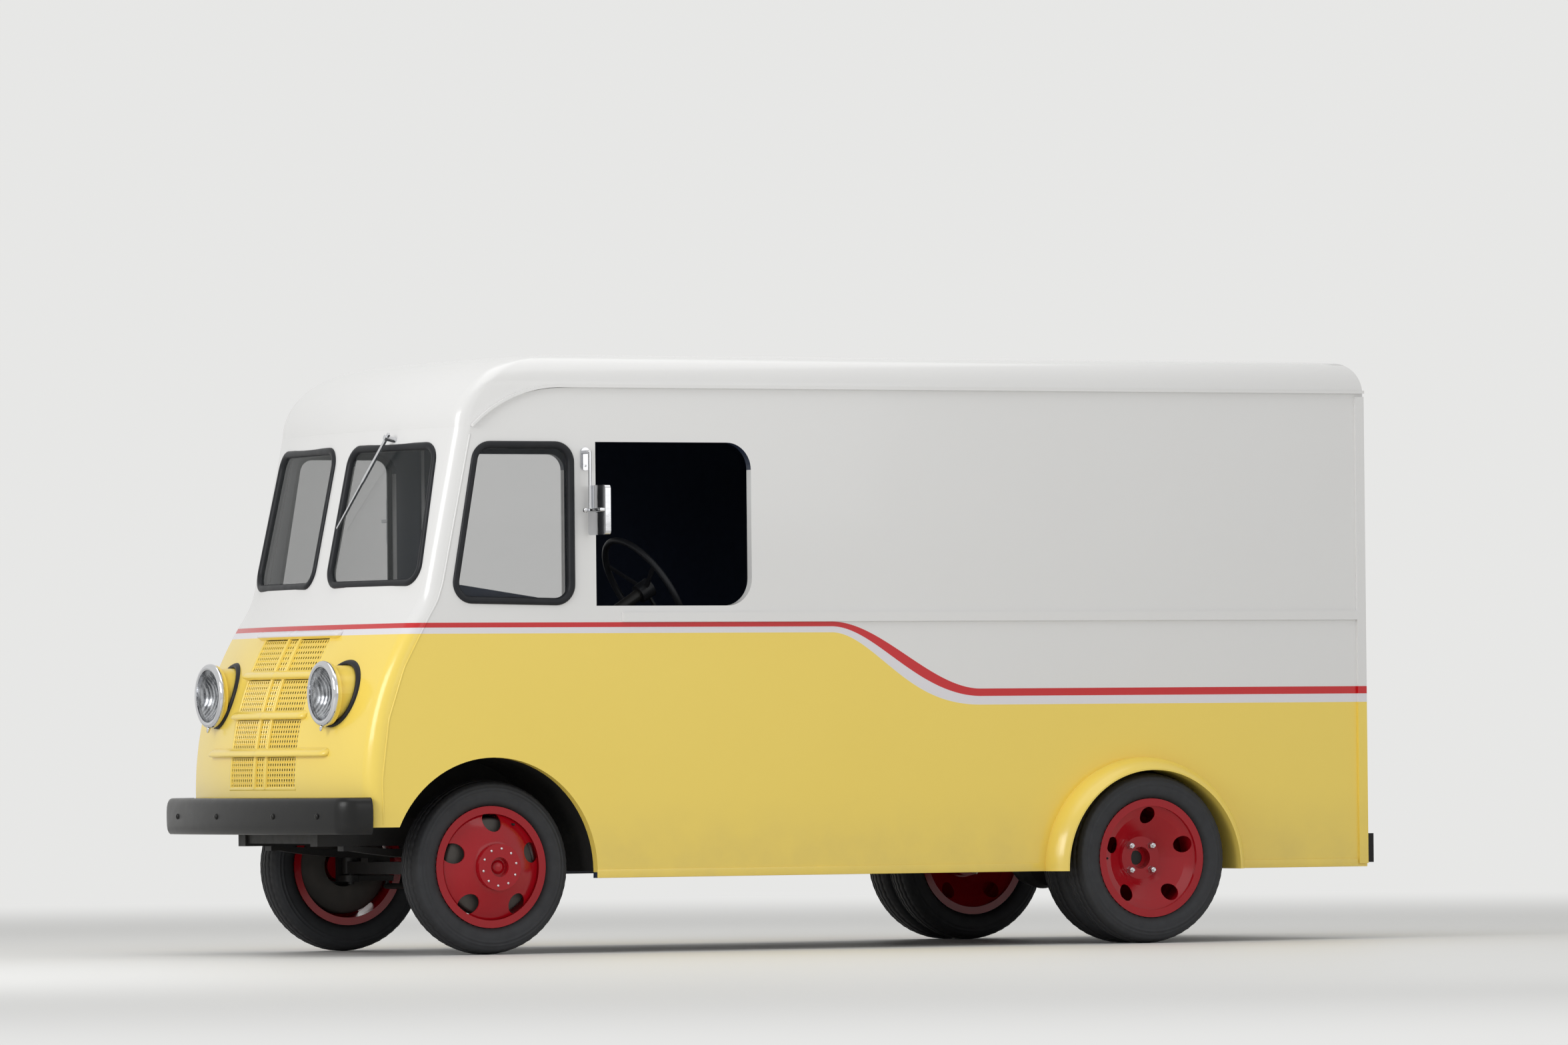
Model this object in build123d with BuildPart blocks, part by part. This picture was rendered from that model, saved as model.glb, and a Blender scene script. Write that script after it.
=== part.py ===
"""Walk-in delivery van, whole vehicle, in millimetres.

Z is up from the road, -Y is forward and +X is the van's left, the driver's side.
"""
import os
from math import asin, atan2, cos, pi, sin, sqrt

from build123d import *

# Body sizes
HALF_W = 760.0          # side plane from the middle
WALL = 35.0             # side wall with its inner ribs
REAR_Y = 2170.0         # back face of the body
SILL_Z = 275.0          # lower edge of the sides
BELT_Z = 1230.0         # joint of upper and lower panels
GUTTER_Z = 2072.0       # drip rail height
BOW_R = 3500.0          # bow of the front in plan
CORNER_R = 60.0         # front corner in plan
SEAM_BACK = 135.0       # joint of front and side behind the front's middle
FRONT_WALL = 30.0

# Middle line of the front: height, forward position
NOSE = ((470.0, -2113.0), (640.0, -2116.0), (860.0, -2088.0), (1050.0, -2024.0), (BELT_Z, -1925.0))
COWL = ((BELT_Z, -1925.0), (1290.0, -1888.0), (1355.0, -1866.0))
SCREEN = ((1355.0, -1866.0), (1926.0, -1745.0))
BROW_Z = SCREEN[-1][0]
# Roof: brow as a quarter ellipse in side view, shoulders as quarter ellipses from the drip rail up
BROW_RISE, BROW_RUN = 264.0, 401.0
SHOULDER_IN, TAIL_IN = 100.0, 70.0
CROWN_RISE = 15.0
ROOF_STEPS = 8
ROOF_WALL = 30.0
# Drip rail: its front end on the pillar, then a curve that turns level
RAIL_END_Y, RAIL_RUN, RAIL_STEPS = -1610.0, 360.0, 8
RAIL_T, RAIL_OUT = 11.0, 15.0

# Running gear
WHEELBASE = 2680.0
FRONT_Y = -1497.0
REAR_AXLE_Y = FRONT_Y + WHEELBASE
AXLE_Z = 320.0
TYRE_R = 320.0
TYRE_HALF = 75.0
RIM_R = 223.0
BEAD_R = 205.0
RIM_HALF = 58.0
FRONT_X = 604.0         # middle plane of a front tyre
REAR_OUT_X = 777.0      # middle plane of an outer rear tyre
REAR_IN_X = 612.0       # middle plane of an inner rear tyre
KING_X = 520.0          # kingpin from the middle
ARM_X, ARM_Y = KING_X, FRONT_Y + 150.0     # tie rod end straight behind the kingpin
AXLE_END, SHAFT_R = 712.0, 26.0     # half shaft end inside the rear hub
SPINDLE_R, SPINDLE_OUT, BEARING_GAP = 20.0, 40.0, 0.5
RAIL_X, RAIL_W, RAIL_Z, RAIL_H = 310.0, 60.0, 450.0, 100.0
RAIL_FRONT, RAIL_BACK = -2045.0, 2120.0
FLOOR_Z, FLOOR_T = 500.0, 40.0
FLOOR_FRONT, FLOOR_BACK = -1985.0, REAR_Y - 44.0

# Wheel openings in side view: middle, height, radius
FRONT_ARCH = (-1530.0, 300.0, 420.0)
REAR_ARCH = (REAR_AXLE_Y, 280.0, 370.0)

# Windows
PANE = ((55.0, 1350.0), (698.0, 1350.0), (656.0, 1872.0), (55.0, 1872.0))
PANE_R = 75.0
QUARTER = ((-1702.0, 1285.0), (-1195.0, 1275.0), (-1195.0, 1872.0), (-1598.0, 1872.0))
CAB_WINDOW = (-1105.0, -461.0, 1272.0, 1873.0)
GLASS_T = 6.0
SEAL_W = 24.0

# Doors
SIDE_DOOR = (-1075.0, -430.0, 340.0, 1985.0)    # opening: front, back, low, high
SIDE_DOOR_T, DOOR_LAP = 28.0, 18.0              # door, and how far it covers the wall around the opening
BACK_DOOR = (640.0, 430.0, 1960.0)              # opening: half width, low, high
DOOR_GAP = 8.0

# Headlamps
LAMP_X, LAMP_Z, LAMP_Y, LAMP_R = 488.0, 958.0, -2102.0, 120.0


def outline(z, y_front, inset=0.0, y_back=-900.0, half=HALF_W):
    """Plan outline at one height with a bowed front and rounded front corners."""
    bow, corner, side = BOW_R - inset, CORNER_R - inset, half - inset
    bow_y = y_front + BOW_R
    corner_y = bow_y - sqrt((bow - corner) ** 2 - (side - corner) ** 2)
    turn = atan2(bow_y - corner_y, side - corner)
    mid = (side - corner + corner * cos(turn / 2), corner_y - corner * sin(turn / 2))
    end = ((side - corner) * bow / (bow - corner), bow_y - (bow_y - corner_y) * bow / (bow - corner))
    with BuildSketch(Plane.XY.offset(z)) as plan:
        with BuildLine():
            Polyline((side, corner_y), (side, y_back), (-side, y_back), (-side, corner_y))
            ThreePointArc((side, corner_y), mid, end)
            ThreePointArc(end, (0, y_front + inset), (-end[0], end[1]))
            ThreePointArc((-side, corner_y), (-mid[0], mid[1]), (-end[0], end[1]))
        make_face()
    return plan.sketch


def front_loft(rows, inset=0.0, mode=Mode.ADD, ruled=False):
    """Solid through plan outlines at the given heights."""
    loft([outline(z, y, inset) for z, y in rows], ruled=ruled, mode=mode)


def side_cut(points, mode, x0=-1200.0, x1=1200.0):
    """Prism across the van from a closed side-view outline."""
    with BuildSketch(Plane.YZ.offset(x0)) as side:
        Polygon(*points, align=None)
    extrude(side.sketch, amount=x1 - x0, mode=mode)


def seam(rows):
    return [(y + SEAM_BACK, z) for z, y in rows]


def roof_rows(inset=0.0, drop=0.0):
    """Plan outlines of the roof from the brow's foot to its top."""
    rows = []
    top_z = BROW_Z + BROW_RISE
    for i in range(ROOF_STEPS + 1):
        turn = pi / 2 * i / ROOF_STEPS
        z = BROW_Z + BROW_RISE * sin(turn)
        lift = max(0.0, (z - GUTTER_Z) / (top_z - GUTTER_Z))
        ease = 1 - sqrt(max(0.0, 1 - lift * lift))
        y_front = SCREEN[-1][1] + BROW_RUN * (1 - cos(turn))
        rows.append(outline(z - (drop if i else 0), y_front + inset, 0, REAR_Y - TAIL_IN * ease - inset,
                            HALF_W - SHOULDER_IN * ease - inset))
    return rows


def drip_line(lift=0.0):
    """Drip rail in side view: a curve up from the front pillar, then level to the back."""
    rise = GUTTER_Z - BROW_Z
    radius = (RAIL_RUN ** 2 + rise ** 2) / (2 * rise)
    turns = [asin(RAIL_RUN / radius) * (1 - i / RAIL_STEPS) for i in range(RAIL_STEPS + 1)]
    curve = [(RAIL_END_Y + RAIL_RUN - radius * sin(t), GUTTER_Z + lift - radius * (1 - cos(t))) for t in turns]
    return curve + [(REAR_Y, GUTTER_Z + lift)]


def rounded(points, radius, inset=0.0):
    """Closed outline with rounded corners, drawn flat for use in a sketch."""
    with BuildSketch() as flat:
        Polygon(*points, align=None)
        fillet(flat.vertices(), radius)
        if inset:
            offset(amount=-inset, mode=Mode.REPLACE)
    return flat.sketch


# Ladder frame
CROSS_YS = (-2000.0, -1800.0, -1200.0, -300.0, 600.0, 1500.0, 2080.0)
with BuildPart() as chassis_frame:
    with Locations(*[(s * RAIL_X, (RAIL_FRONT + RAIL_BACK) / 2, RAIL_Z) for s in (1, -1)]):
        Box(RAIL_W, RAIL_BACK - RAIL_FRONT, RAIL_H)
    with Locations(*[(0, y, RAIL_Z - 10) for y in CROSS_YS]):
        Box(2 * RAIL_X, 70, 60)

# Front axle beam with its kingpins
with BuildPart() as front_axle:
    with Locations((0, FRONT_Y, AXLE_Z - 7)):
        Box(2 * KING_X, 50, 46)
    with Locations(*[(s * KING_X, FRONT_Y, AXLE_Z) for s in (1, -1)]):
        Cylinder(32, 60)
        Cylinder(12, 140)
    with Locations(*[(s * RAIL_X, FRONT_Y, AXLE_Z + 22) for s in (1, -1)]):
        Box(60, 90, 16)

# Leaf springs under the rails
with BuildPart() as leaf_springs:
    top, mid_top = RAIL_Z - RAIL_H / 2, AXLE_Z + 62
    with BuildSketch(Plane.YZ.offset(RAIL_X - 25)):
        with BuildLine():
            ThreePointArc((FRONT_Y - 400, top), (FRONT_Y, mid_top), (FRONT_Y + 400, top))
            Line((FRONT_Y + 400, top), (FRONT_Y + 440, top))
            Line((FRONT_Y + 440, top), (FRONT_Y + 440, top - 18))
            Line((FRONT_Y + 440, top - 18), (FRONT_Y + 400, top - 18))
            ThreePointArc((FRONT_Y + 400, top - 18), (FRONT_Y + 150, AXLE_Z + 34), (FRONT_Y + 45, AXLE_Z + 30))
            Line((FRONT_Y + 45, AXLE_Z + 30), (FRONT_Y - 45, AXLE_Z + 30))
            ThreePointArc((FRONT_Y - 45, AXLE_Z + 30), (FRONT_Y - 150, AXLE_Z + 34), (FRONT_Y - 400, top - 18))
            Line((FRONT_Y - 400, top - 18), (FRONT_Y - 440, top - 18))
            Line((FRONT_Y - 440, top - 18), (FRONT_Y - 440, top))
            Line((FRONT_Y - 440, top), (FRONT_Y - 400, top))
        make_face()
    extrude(amount=50)
    with Locations((RAIL_X, REAR_AXLE_Y, top - 10)):
        Box(50, 1040, 20)
    with Locations((RAIL_X, REAR_AXLE_Y, top - 25)):
        Box(50, 640, 10)
    mirror(about=Plane.YZ)

# Rear axle with differential
with BuildPart() as rear_axle:
    with BuildSketch(Plane.XY.offset(AXLE_Z)):
        with BuildLine():
            Polyline((0, REAR_AXLE_Y), (0, REAR_AXLE_Y + 120), (70, REAR_AXLE_Y + 110), (150, REAR_AXLE_Y + 42),
                     (520, REAR_AXLE_Y + 42), (520, REAR_AXLE_Y + SHAFT_R), (AXLE_END, REAR_AXLE_Y + SHAFT_R),
                     (AXLE_END, REAR_AXLE_Y),
                     close=True)
        make_face()
    revolve(axis=Axis((0, REAR_AXLE_Y, AXLE_Z), (1, 0, 0)))
    with Locations((RAIL_X, REAR_AXLE_Y, AXLE_Z + 45)):
        Box(60, 110, 10)
    with Locations((RAIL_X, REAR_AXLE_Y, AXLE_Z + 30)):
        Box(50, 60, 30)
    mirror(about=Plane.YZ)
    with Locations((0, REAR_AXLE_Y - 120, 355)):
        Cylinder(45, 140, rotation=(90, 0, 0))

# Engine with gearbox as one plain block
with BuildPart() as engine_block:
    with Locations((0, -1500, 730)):
        Box(380, 680, 500)
    with Locations((0, -985, 490)):
        Box(220, 350, 300)
    with Locations((0, -1150, 560)):
        Box(220, 80, 160)

with BuildPart() as propeller_shaft:
    with Locations((0, (-810 + REAR_AXLE_Y - 190) / 2, 355)):
        Cylinder(34, REAR_AXLE_Y - 190 + 810, rotation=(90, 0, 0))

with BuildPart() as exhaust:
    with BuildLine():
        Polyline((200, -700, 345), (200, -100, 345), (560, 380, 345), (690, 520, 290))
    with BuildSketch(Plane(origin=(200, -700, 345), z_dir=(0, 1, 0))):
        Circle(24)
    sweep(transition=Transition.ROUND)
    with Locations((200, -520, 345)):
        Cylinder(54, 420, rotation=(90, 0, 0))
    with Locations((320, 60, 372)):
        Box(40, 30, 56)

# Floor: the cab part with engine hatch and step well, the load part with wheel openings
CAB_END = -150.0                                # joint of cab floor and load floor
HATCH_HALF, HATCH_FRONT, HATCH_BACK = 240.0, -1900.0, -780.0
WELL_IN, WELL_T, WELL_Z = -470.0, 20.0, 300.0   # step well: inner edge, plate, underside
DOOR_PATH = 55.0                                # floor edge set back from the sliding door
ARCH_T, ARCH_GAP = 12.0, 3.0                    # wheel housing plate and its step back from the opening
HOUSING_IN = ((FRONT_ARCH, 350.0, 300.0), (REAR_ARCH, 508.0, SILL_Z + 5))   # opening, inner end, lower edge
door_mid, door_long = (SIDE_DOOR[0] + SIDE_DOOR[1]) / 2, SIDE_DOOR[1] - SIDE_DOOR[0]
with BuildPart() as floor_sheet:
    with Locations((0, (FLOOR_FRONT + FLOOR_BACK) / 2, FLOOR_Z + FLOOR_T / 2)):
        Box(2 * (HALF_W - WALL), FLOOR_BACK - FLOOR_FRONT, FLOOR_T)
    with Locations((0, (HATCH_FRONT + HATCH_BACK) / 2, FLOOR_Z + FLOOR_T / 2)):
        Box(2 * HATCH_HALF, HATCH_BACK - HATCH_FRONT, FLOOR_T, mode=Mode.SUBTRACT)
    for (y, z, r), x, low in HOUSING_IN:
        for s in (1, -1):
            with BuildSketch(Plane.YZ.offset(s * x)):
                with Locations((y, z)):
                    Circle(r + ARCH_GAP + ARCH_T)
            extrude(amount=s * HALF_W, mode=Mode.SUBTRACT)
    path_front, path_back = SIDE_DOOR[0] - 2 * DOOR_LAP, REAR_ARCH[0] - REAR_ARCH[2]
    with Locations((-HALF_W + WALL, (path_front + path_back) / 2, FLOOR_Z + FLOOR_T / 2)):
        Box(2 * DOOR_PATH, path_back - path_front, FLOOR_T, mode=Mode.SUBTRACT)
    with Locations(((WELL_IN - HALF_W) / 2, door_mid, FLOOR_Z + FLOOR_T / 2)):
        Box(HALF_W + WELL_IN, door_long, FLOOR_T, mode=Mode.SUBTRACT)
with BuildPart() as cab_floor:
    add(floor_sheet.part)
    split(bisect_by=Plane.XZ.offset(-CAB_END), keep=Keep.TOP)
    with Locations((WELL_IN - WELL_T / 2, door_mid, (WELL_Z + FLOOR_Z + FLOOR_T) / 2)):
        Box(WELL_T, door_long, FLOOR_Z + FLOOR_T - WELL_Z)
    with Locations(((WELL_IN - HALF_W + WALL) / 2, door_mid, WELL_Z + WELL_T / 2)):
        Box(HALF_W - WALL + WELL_IN, door_long, WELL_T)
with BuildPart() as load_floor:
    add(floor_sheet.part)
    split(bisect_by=Plane.XZ.offset(-CAB_END), keep=Keep.BOTTOM)

# Wheel housings under the floor
with BuildPart() as wheel_housings:
    for (y, z, r), x, low in HOUSING_IN:
        with BuildSketch(Plane.YZ.offset(x)):
            with Locations((y, z)):
                Circle(r + ARCH_GAP + ARCH_T)
                Circle(r + ARCH_GAP, mode=Mode.SUBTRACT)
            with Locations((y, low - r)):
                Rectangle(4 * r, 2 * r, mode=Mode.SUBTRACT)
        extrude(amount=HALF_W - WALL - x)
        with BuildSketch(Plane.YZ.offset(x)):
            with Locations((y, z)):
                Circle(r + ARCH_GAP + ARCH_T)
            with Locations((y, FLOOR_Z - 2 * r)):
                Rectangle(4 * r, 4 * r, mode=Mode.SUBTRACT)
        extrude(amount=ARCH_T)
    with Locations((HALF_W / 2, FRONT_ARCH[0] - FRONT_ARCH[2], NOSE[0][0] - FRONT_ARCH[2])):
        Box(HALF_W, 2 * FRONT_ARCH[2], 2 * FRONT_ARCH[2], mode=Mode.SUBTRACT)
    mirror(about=Plane.YZ)

# Grille opening; perforated screens in rows between the bars
GRILLE = (285.0, 615.0, 1190.0)                 # half width, low, high
BARS = ((345.0, 1178.0), (310.0, 1030.0), (310.0, 882.0), (500.0, 745.0))   # half width, height
BAR_H, BAR_OUT = 30.0, 24.0
SCREEN_SET, SCREEN_T = 6.0, 6.0                 # step back from the nose, sheet
HOLE, HOLE_PITCH, HOLE_ROWS = 12.0, 24.0, 5
RIB_X, RIB_W = 48.0, 14.0
STRIPS = ((-172.0, 250.0, 9), (0.0, 2 * RIB_X, 3), (172.0, 250.0, 9))   # middle, width, holes across
LAMP_HOLE_R = LAMP_R - 17

# Nose below the belt
with BuildPart() as nose_panel:
    front_loft(NOSE)
    front_loft(NOSE, FRONT_WALL, Mode.SUBTRACT)
    side_cut(seam(NOSE) + [(-2400, BELT_Z), (-2400, NOSE[0][0])], Mode.INTERSECT)
    with BuildSketch(Plane.XZ):
        with Locations((0, (GRILLE[1] + GRILLE[2]) / 2)):
            Rectangle(2 * GRILLE[0], GRILLE[2] - GRILLE[1])
        with Locations((LAMP_X, LAMP_Z), (-LAMP_X, LAMP_Z)):
            Circle(LAMP_HOLE_R)
    extrude(amount=2400, mode=Mode.SUBTRACT)

# Upper front with two window openings and the wiper's shaft hole
RAKE = Plane(origin=(380, -1760, 1893), x_dir=(1, 0, 0), z_dir=(0, -0.978, 0.2079))
with BuildPart() as windshield_panel:
    front_loft(COWL)
    front_loft(SCREEN, ruled=True)
    front_loft(COWL, FRONT_WALL, Mode.SUBTRACT)
    front_loft(SCREEN, FRONT_WALL, Mode.SUBTRACT, ruled=True)
    side_cut(seam(COWL) + seam(SCREEN)[1:] + [(-2400, BROW_Z), (-2400, BELT_Z)], Mode.INTERSECT)
    with BuildSketch(Plane.XZ):
        for s in (1, -1):
            add(rounded([(s * x, z) for x, z in PANE], PANE_R))
    extrude(amount=2400, mode=Mode.SUBTRACT)
    with BuildSketch(RAKE.offset(-60)):
        Circle(10)
    extrude(amount=160, mode=Mode.SUBTRACT)

# Rubber seals and glass of the fixed windows
with BuildPart() as pane_seals:
    front_loft(SCREEN, -7, ruled=True)
    front_loft(SCREEN, 20, Mode.SUBTRACT, ruled=True)
    with BuildSketch(Plane.XZ) as rings:
        for s in (1, -1):
            pane = [(s * x, z) for x, z in PANE]
            add(rounded(pane, PANE_R))
            add(rounded(pane, PANE_R, SEAL_W), mode=Mode.SUBTRACT)
    extrude(amount=2400, mode=Mode.INTERSECT)
with BuildPart() as quarter_seal:
    with BuildSketch(Plane.YZ.offset(HALF_W - 20)):
        add(rounded(QUARTER, PANE_R))
        add(rounded(QUARTER, PANE_R, SEAL_W), mode=Mode.SUBTRACT)
    extrude(amount=27)
with BuildPart() as window_seals:
    add(pane_seals.part)
    add(quarter_seal.part)
    mirror(quarter_seal.part, about=Plane.YZ)

with BuildPart() as pane_glass:
    front_loft(SCREEN, 4, ruled=True)
    front_loft(SCREEN, 4 + GLASS_T, Mode.SUBTRACT, ruled=True)
    with BuildSketch(Plane.XZ):
        for s in (1, -1):
            add(rounded([(s * x, z) for x, z in PANE], PANE_R, SEAL_W))
    extrude(amount=2400, mode=Mode.INTERSECT)
with BuildPart() as quarter_glass:
    with BuildSketch(Plane.YZ.offset(HALF_W - 4 - GLASS_T)):
        add(rounded(QUARTER, PANE_R, SEAL_W))
    extrude(amount=GLASS_T)
with BuildPart() as window_glass:
    add(pane_glass.part)
    add(quarter_glass.part)
    mirror(quarter_glass.part, about=Plane.YZ)

# Sides, split at the belt
with BuildPart() as side_lower_left:
    side_cut(seam(NOSE) + [(REAR_Y, BELT_Z), (REAR_Y, SILL_Z), (FRONT_ARCH[0], SILL_Z),
             (FRONT_ARCH[0], NOSE[0][0])], Mode.ADD, HALF_W - WALL, HALF_W)
    with BuildSketch(Plane.YZ):
        for y, z, r in (FRONT_ARCH, REAR_ARCH):
            with Locations((y, z)):
                Circle(r)
    extrude(amount=1000, mode=Mode.SUBTRACT)
with BuildPart() as side_lower_right:
    mirror(side_lower_left.part, about=Plane.YZ)
    with Locations((-HALF_W, (SIDE_DOOR[0] + SIDE_DOOR[1]) / 2, (SIDE_DOOR[2] + SIDE_DOOR[3]) / 2)):
        Box(200, SIDE_DOOR[1] - SIDE_DOOR[0], SIDE_DOOR[3] - SIDE_DOOR[2], mode=Mode.SUBTRACT)

with BuildPart() as side_upper:
    side_cut(seam(COWL) + seam(SCREEN)[1:] + drip_line() + [(REAR_Y, BELT_Z)], Mode.ADD, HALF_W - WALL, HALF_W)
    with BuildSketch(Plane.YZ):
        add(rounded(QUARTER, PANE_R))
    extrude(amount=1000, mode=Mode.SUBTRACT)
with BuildPart() as side_upper_left:
    add(side_upper.part)
    with BuildSketch(Plane.YZ) as light:
        y0, y1, z0, z1 = CAB_WINDOW
        with Locations(((y0 + y1) / 2, (z0 + z1) / 2)):
            Rectangle(y1 - y0, z1 - z0)
        fillet(light.vertices().group_by(Axis.X)[-1], 100)
        fillet(light.vertices().sort_by(Axis.Y)[0:1], 40)
    extrude(amount=1000, mode=Mode.SUBTRACT)
with BuildPart() as side_upper_right:
    mirror(side_upper.part, about=Plane.YZ)
    with Locations((-HALF_W, (SIDE_DOOR[0] + SIDE_DOOR[1]) / 2, (SIDE_DOOR[2] + SIDE_DOOR[3]) / 2)):
        Box(200, SIDE_DOOR[1] - SIDE_DOOR[0], SIDE_DOOR[3] - SIDE_DOOR[2], mode=Mode.SUBTRACT)
    with Locations((-HALF_W + WALL + 17.5, -380, 2030)):
        Box(35, 1420, 26)

# Roof with its brow
with BuildPart() as roof:
    loft(roof_rows(), ruled=True)
    top = roof_rows()[-1]
    crown_y0, crown_y1 = SCREEN[-1][1] + BROW_RUN, REAR_Y - TAIL_IN
    loft([top, outline(BROW_Z + BROW_RISE + CROWN_RISE, crown_y0 + 260, 0, crown_y1 - 200, HALF_W - SHOULDER_IN - 280)],
         ruled=True)
    loft(roof_rows(ROOF_WALL, ROOF_WALL), ruled=True, mode=Mode.SUBTRACT)
    side_cut(drip_line() + [(REAR_Y + 200, GUTTER_Z), (REAR_Y + 200, BROW_Z - 100), (RAIL_END_Y, BROW_Z - 100)],
             Mode.SUBTRACT)

# Rear frame and doors
HINGE_X, HINGE_Y = BACK_DOOR[0] + 10, REAR_Y + 15
HINGE_ZS = (600.0, 1180.0, 1780.0)
with BuildPart() as rear_frame:
    with Locations((0, REAR_Y - 20, (SILL_Z + GUTTER_Z) / 2)):
        Box(2 * (HALF_W - WALL), 40, GUTTER_Z - SILL_Z)
    with Locations((0, REAR_Y - 20, (BACK_DOOR[1] + BACK_DOOR[2]) / 2)):
        Box(2 * BACK_DOOR[0], 60, BACK_DOOR[2] - BACK_DOOR[1], mode=Mode.SUBTRACT)
    for z in HINGE_ZS:
        for s in (1, -1):
            with Locations((s * (HINGE_X + 30), REAR_Y + 5, z + 50), (s * (HINGE_X + 30), REAR_Y + 5, z - 50)):
                Box(60, 10, 19)
            with Locations((s * HINGE_X, HINGE_Y, z + 50), (s * HINGE_X, HINGE_Y, z - 50)):
                Cylinder(9, 19)

with BuildPart() as rear_door_left:
    x0, x1 = 5.0, BACK_DOOR[0] - DOOR_GAP
    z0, z1 = BACK_DOOR[1] + DOOR_GAP, BACK_DOOR[2] - DOOR_GAP
    with Locations(((x0 + x1) / 2, REAR_Y - 22, (z0 + z1) / 2)):
        Box(x1 - x0, 30, z1 - z0)
    with BuildSketch(Plane.XZ) as light:
        with Locations((315, 1530)):
            RectangleRounded(440, 500, 50)
    extrude(amount=-3000, mode=Mode.SUBTRACT)
    for z in HINGE_ZS:
        with Locations((HINGE_X - 65, REAR_Y + 2, z)):
            Box(50, 18, 60)
        with Locations((HINGE_X - 45, REAR_Y + 12, z)):
            Box(90, 6, 60)
        with Locations((HINGE_X, HINGE_Y, z)):
            Cylinder(9, 80)
with BuildPart() as rear_door_right:
    mirror(rear_door_left.part, about=Plane.YZ)
with BuildPart() as rear_glass_left:
    with BuildSketch(Plane.XZ.offset(-(REAR_Y - 19))):
        with Locations((315, 1530)):
            RectangleRounded(440, 500, 50)
    extrude(amount=GLASS_T)
with BuildPart() as rear_glass_right:
    mirror(rear_glass_left.part, about=Plane.YZ)

# Sliding side door on the right
DOOR_X = -HALF_W + WALL + 7 + SIDE_DOOR_T / 2
with BuildPart() as side_door:
    y0, y1, z0, z1 = SIDE_DOOR[0] - DOOR_LAP, SIDE_DOOR[1] + DOOR_LAP, SIDE_DOOR[2] + 10, SIDE_DOOR[3] + 20
    with Locations((DOOR_X, (y0 + y1) / 2, (z0 + z1) / 2)):
        Box(SIDE_DOOR_T, y1 - y0, z1 - z0)
    with BuildSketch(Plane.YZ) as light:
        with Locations(((y0 + y1) / 2, 1572)):
            RectangleRounded(500, 600, 60)
    extrude(amount=-1000, mode=Mode.SUBTRACT)
    with Locations((DOOR_X, y0 + 110, z1 + 5.75), (DOOR_X, y1 - 110, z1 + 5.75)):
        Box(20, 60, 11.5)
with BuildPart() as side_door_glass:
    with BuildSketch(Plane.YZ.offset(DOOR_X - 3)) as light:
        with Locations(((y0 + y1) / 2, 1572)):
            RectangleRounded(500, 600, 60)
    extrude(amount=GLASS_T)

# Rails and mouldings on the sides
with BuildPart() as mouldings:
    side_cut(drip_line() + drip_line(RAIL_T)[::-1], Mode.ADD, HALF_W, HALF_W + RAIL_OUT)
    with Locations((HALF_W + 5, (-1000 + REAR_Y) / 2, BELT_Z)):
        Box(10, REAR_Y + 1000, 34)
    with Locations((HALF_W + 5, REAR_Y - 19, (SILL_Z + GUTTER_Z) / 2)):
        Box(10, 38, GUTTER_Z - SILL_Z - 24)
    mirror(about=Plane.YZ)
    with Locations((-HALF_W - 5, (SIDE_DOOR[0] + SIDE_DOOR[1]) / 2, BELT_Z)):
        Box(30, SIDE_DOOR[1] - SIDE_DOOR[0], 60, mode=Mode.SUBTRACT)

# Rear wheel flares, bulged out over the twin tyres
FLARE_OUT, FLARE_FOOT, FLARE_LIP = 106.0, 46.0, 6.0    # reach from the side, width at the side, flat lip
with BuildPart() as rear_flares:
    r0, foot_x, tip_x = REAR_ARCH[2], HALF_W, HALF_W + FLARE_OUT
    with BuildSketch(Plane.XY.offset(REAR_ARCH[1])):
        with BuildLine():
            Polyline((tip_x, REAR_AXLE_Y + r0 + FLARE_LIP), (tip_x, REAR_AXLE_Y + r0), (foot_x, REAR_AXLE_Y + r0),
                     (foot_x, REAR_AXLE_Y + r0 + FLARE_FOOT))
            ThreePointArc((foot_x, REAR_AXLE_Y + r0 + FLARE_FOOT),
                          (foot_x + FLARE_OUT * 0.72, REAR_AXLE_Y + r0 + FLARE_FOOT * 0.72),
                          (tip_x, REAR_AXLE_Y + r0 + FLARE_LIP))
        make_face()
    revolve(axis=Axis((0, REAR_AXLE_Y, REAR_ARCH[1]), (1, 0, 0)))
    with Locations((HALF_W, REAR_AXLE_Y, SILL_Z - r0)):
        Box(4 * FLARE_OUT, 4 * r0, 2 * r0, mode=Mode.SUBTRACT)
    mirror(about=Plane.YZ)

# Bumpers
BUMPER_Z, BUMPER_H, BUMPER_T, BUMPER_Y, BUMPER_BACK, BUMPER_R = 445.0, 135.0, 15.0, -2210.0, -2030.0, 30.0
with BuildPart() as front_bumper:
    extrude(outline(BUMPER_Z, BUMPER_Y, -25, BUMPER_BACK), amount=BUMPER_H)
    fillet(front_bumper.edges().group_by(Axis.Z)[-1] + front_bumper.edges().group_by(Axis.Z)[0], BUMPER_R)
    extrude(outline(BUMPER_Z, BUMPER_Y, BUMPER_T - 25, BUMPER_BACK), amount=BUMPER_H, mode=Mode.SUBTRACT)
    for s in (1, -1):
        with Locations((s * RAIL_X, (BUMPER_Y + RAIL_FRONT) / 2, BUMPER_Z + 13)):
            Box(50, RAIL_FRONT - BUMPER_Y - 10, 20)
        with Locations((s * RAIL_X, RAIL_FRONT - 15, BUMPER_Z + 10)):
            Box(50, 30, 26)

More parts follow.
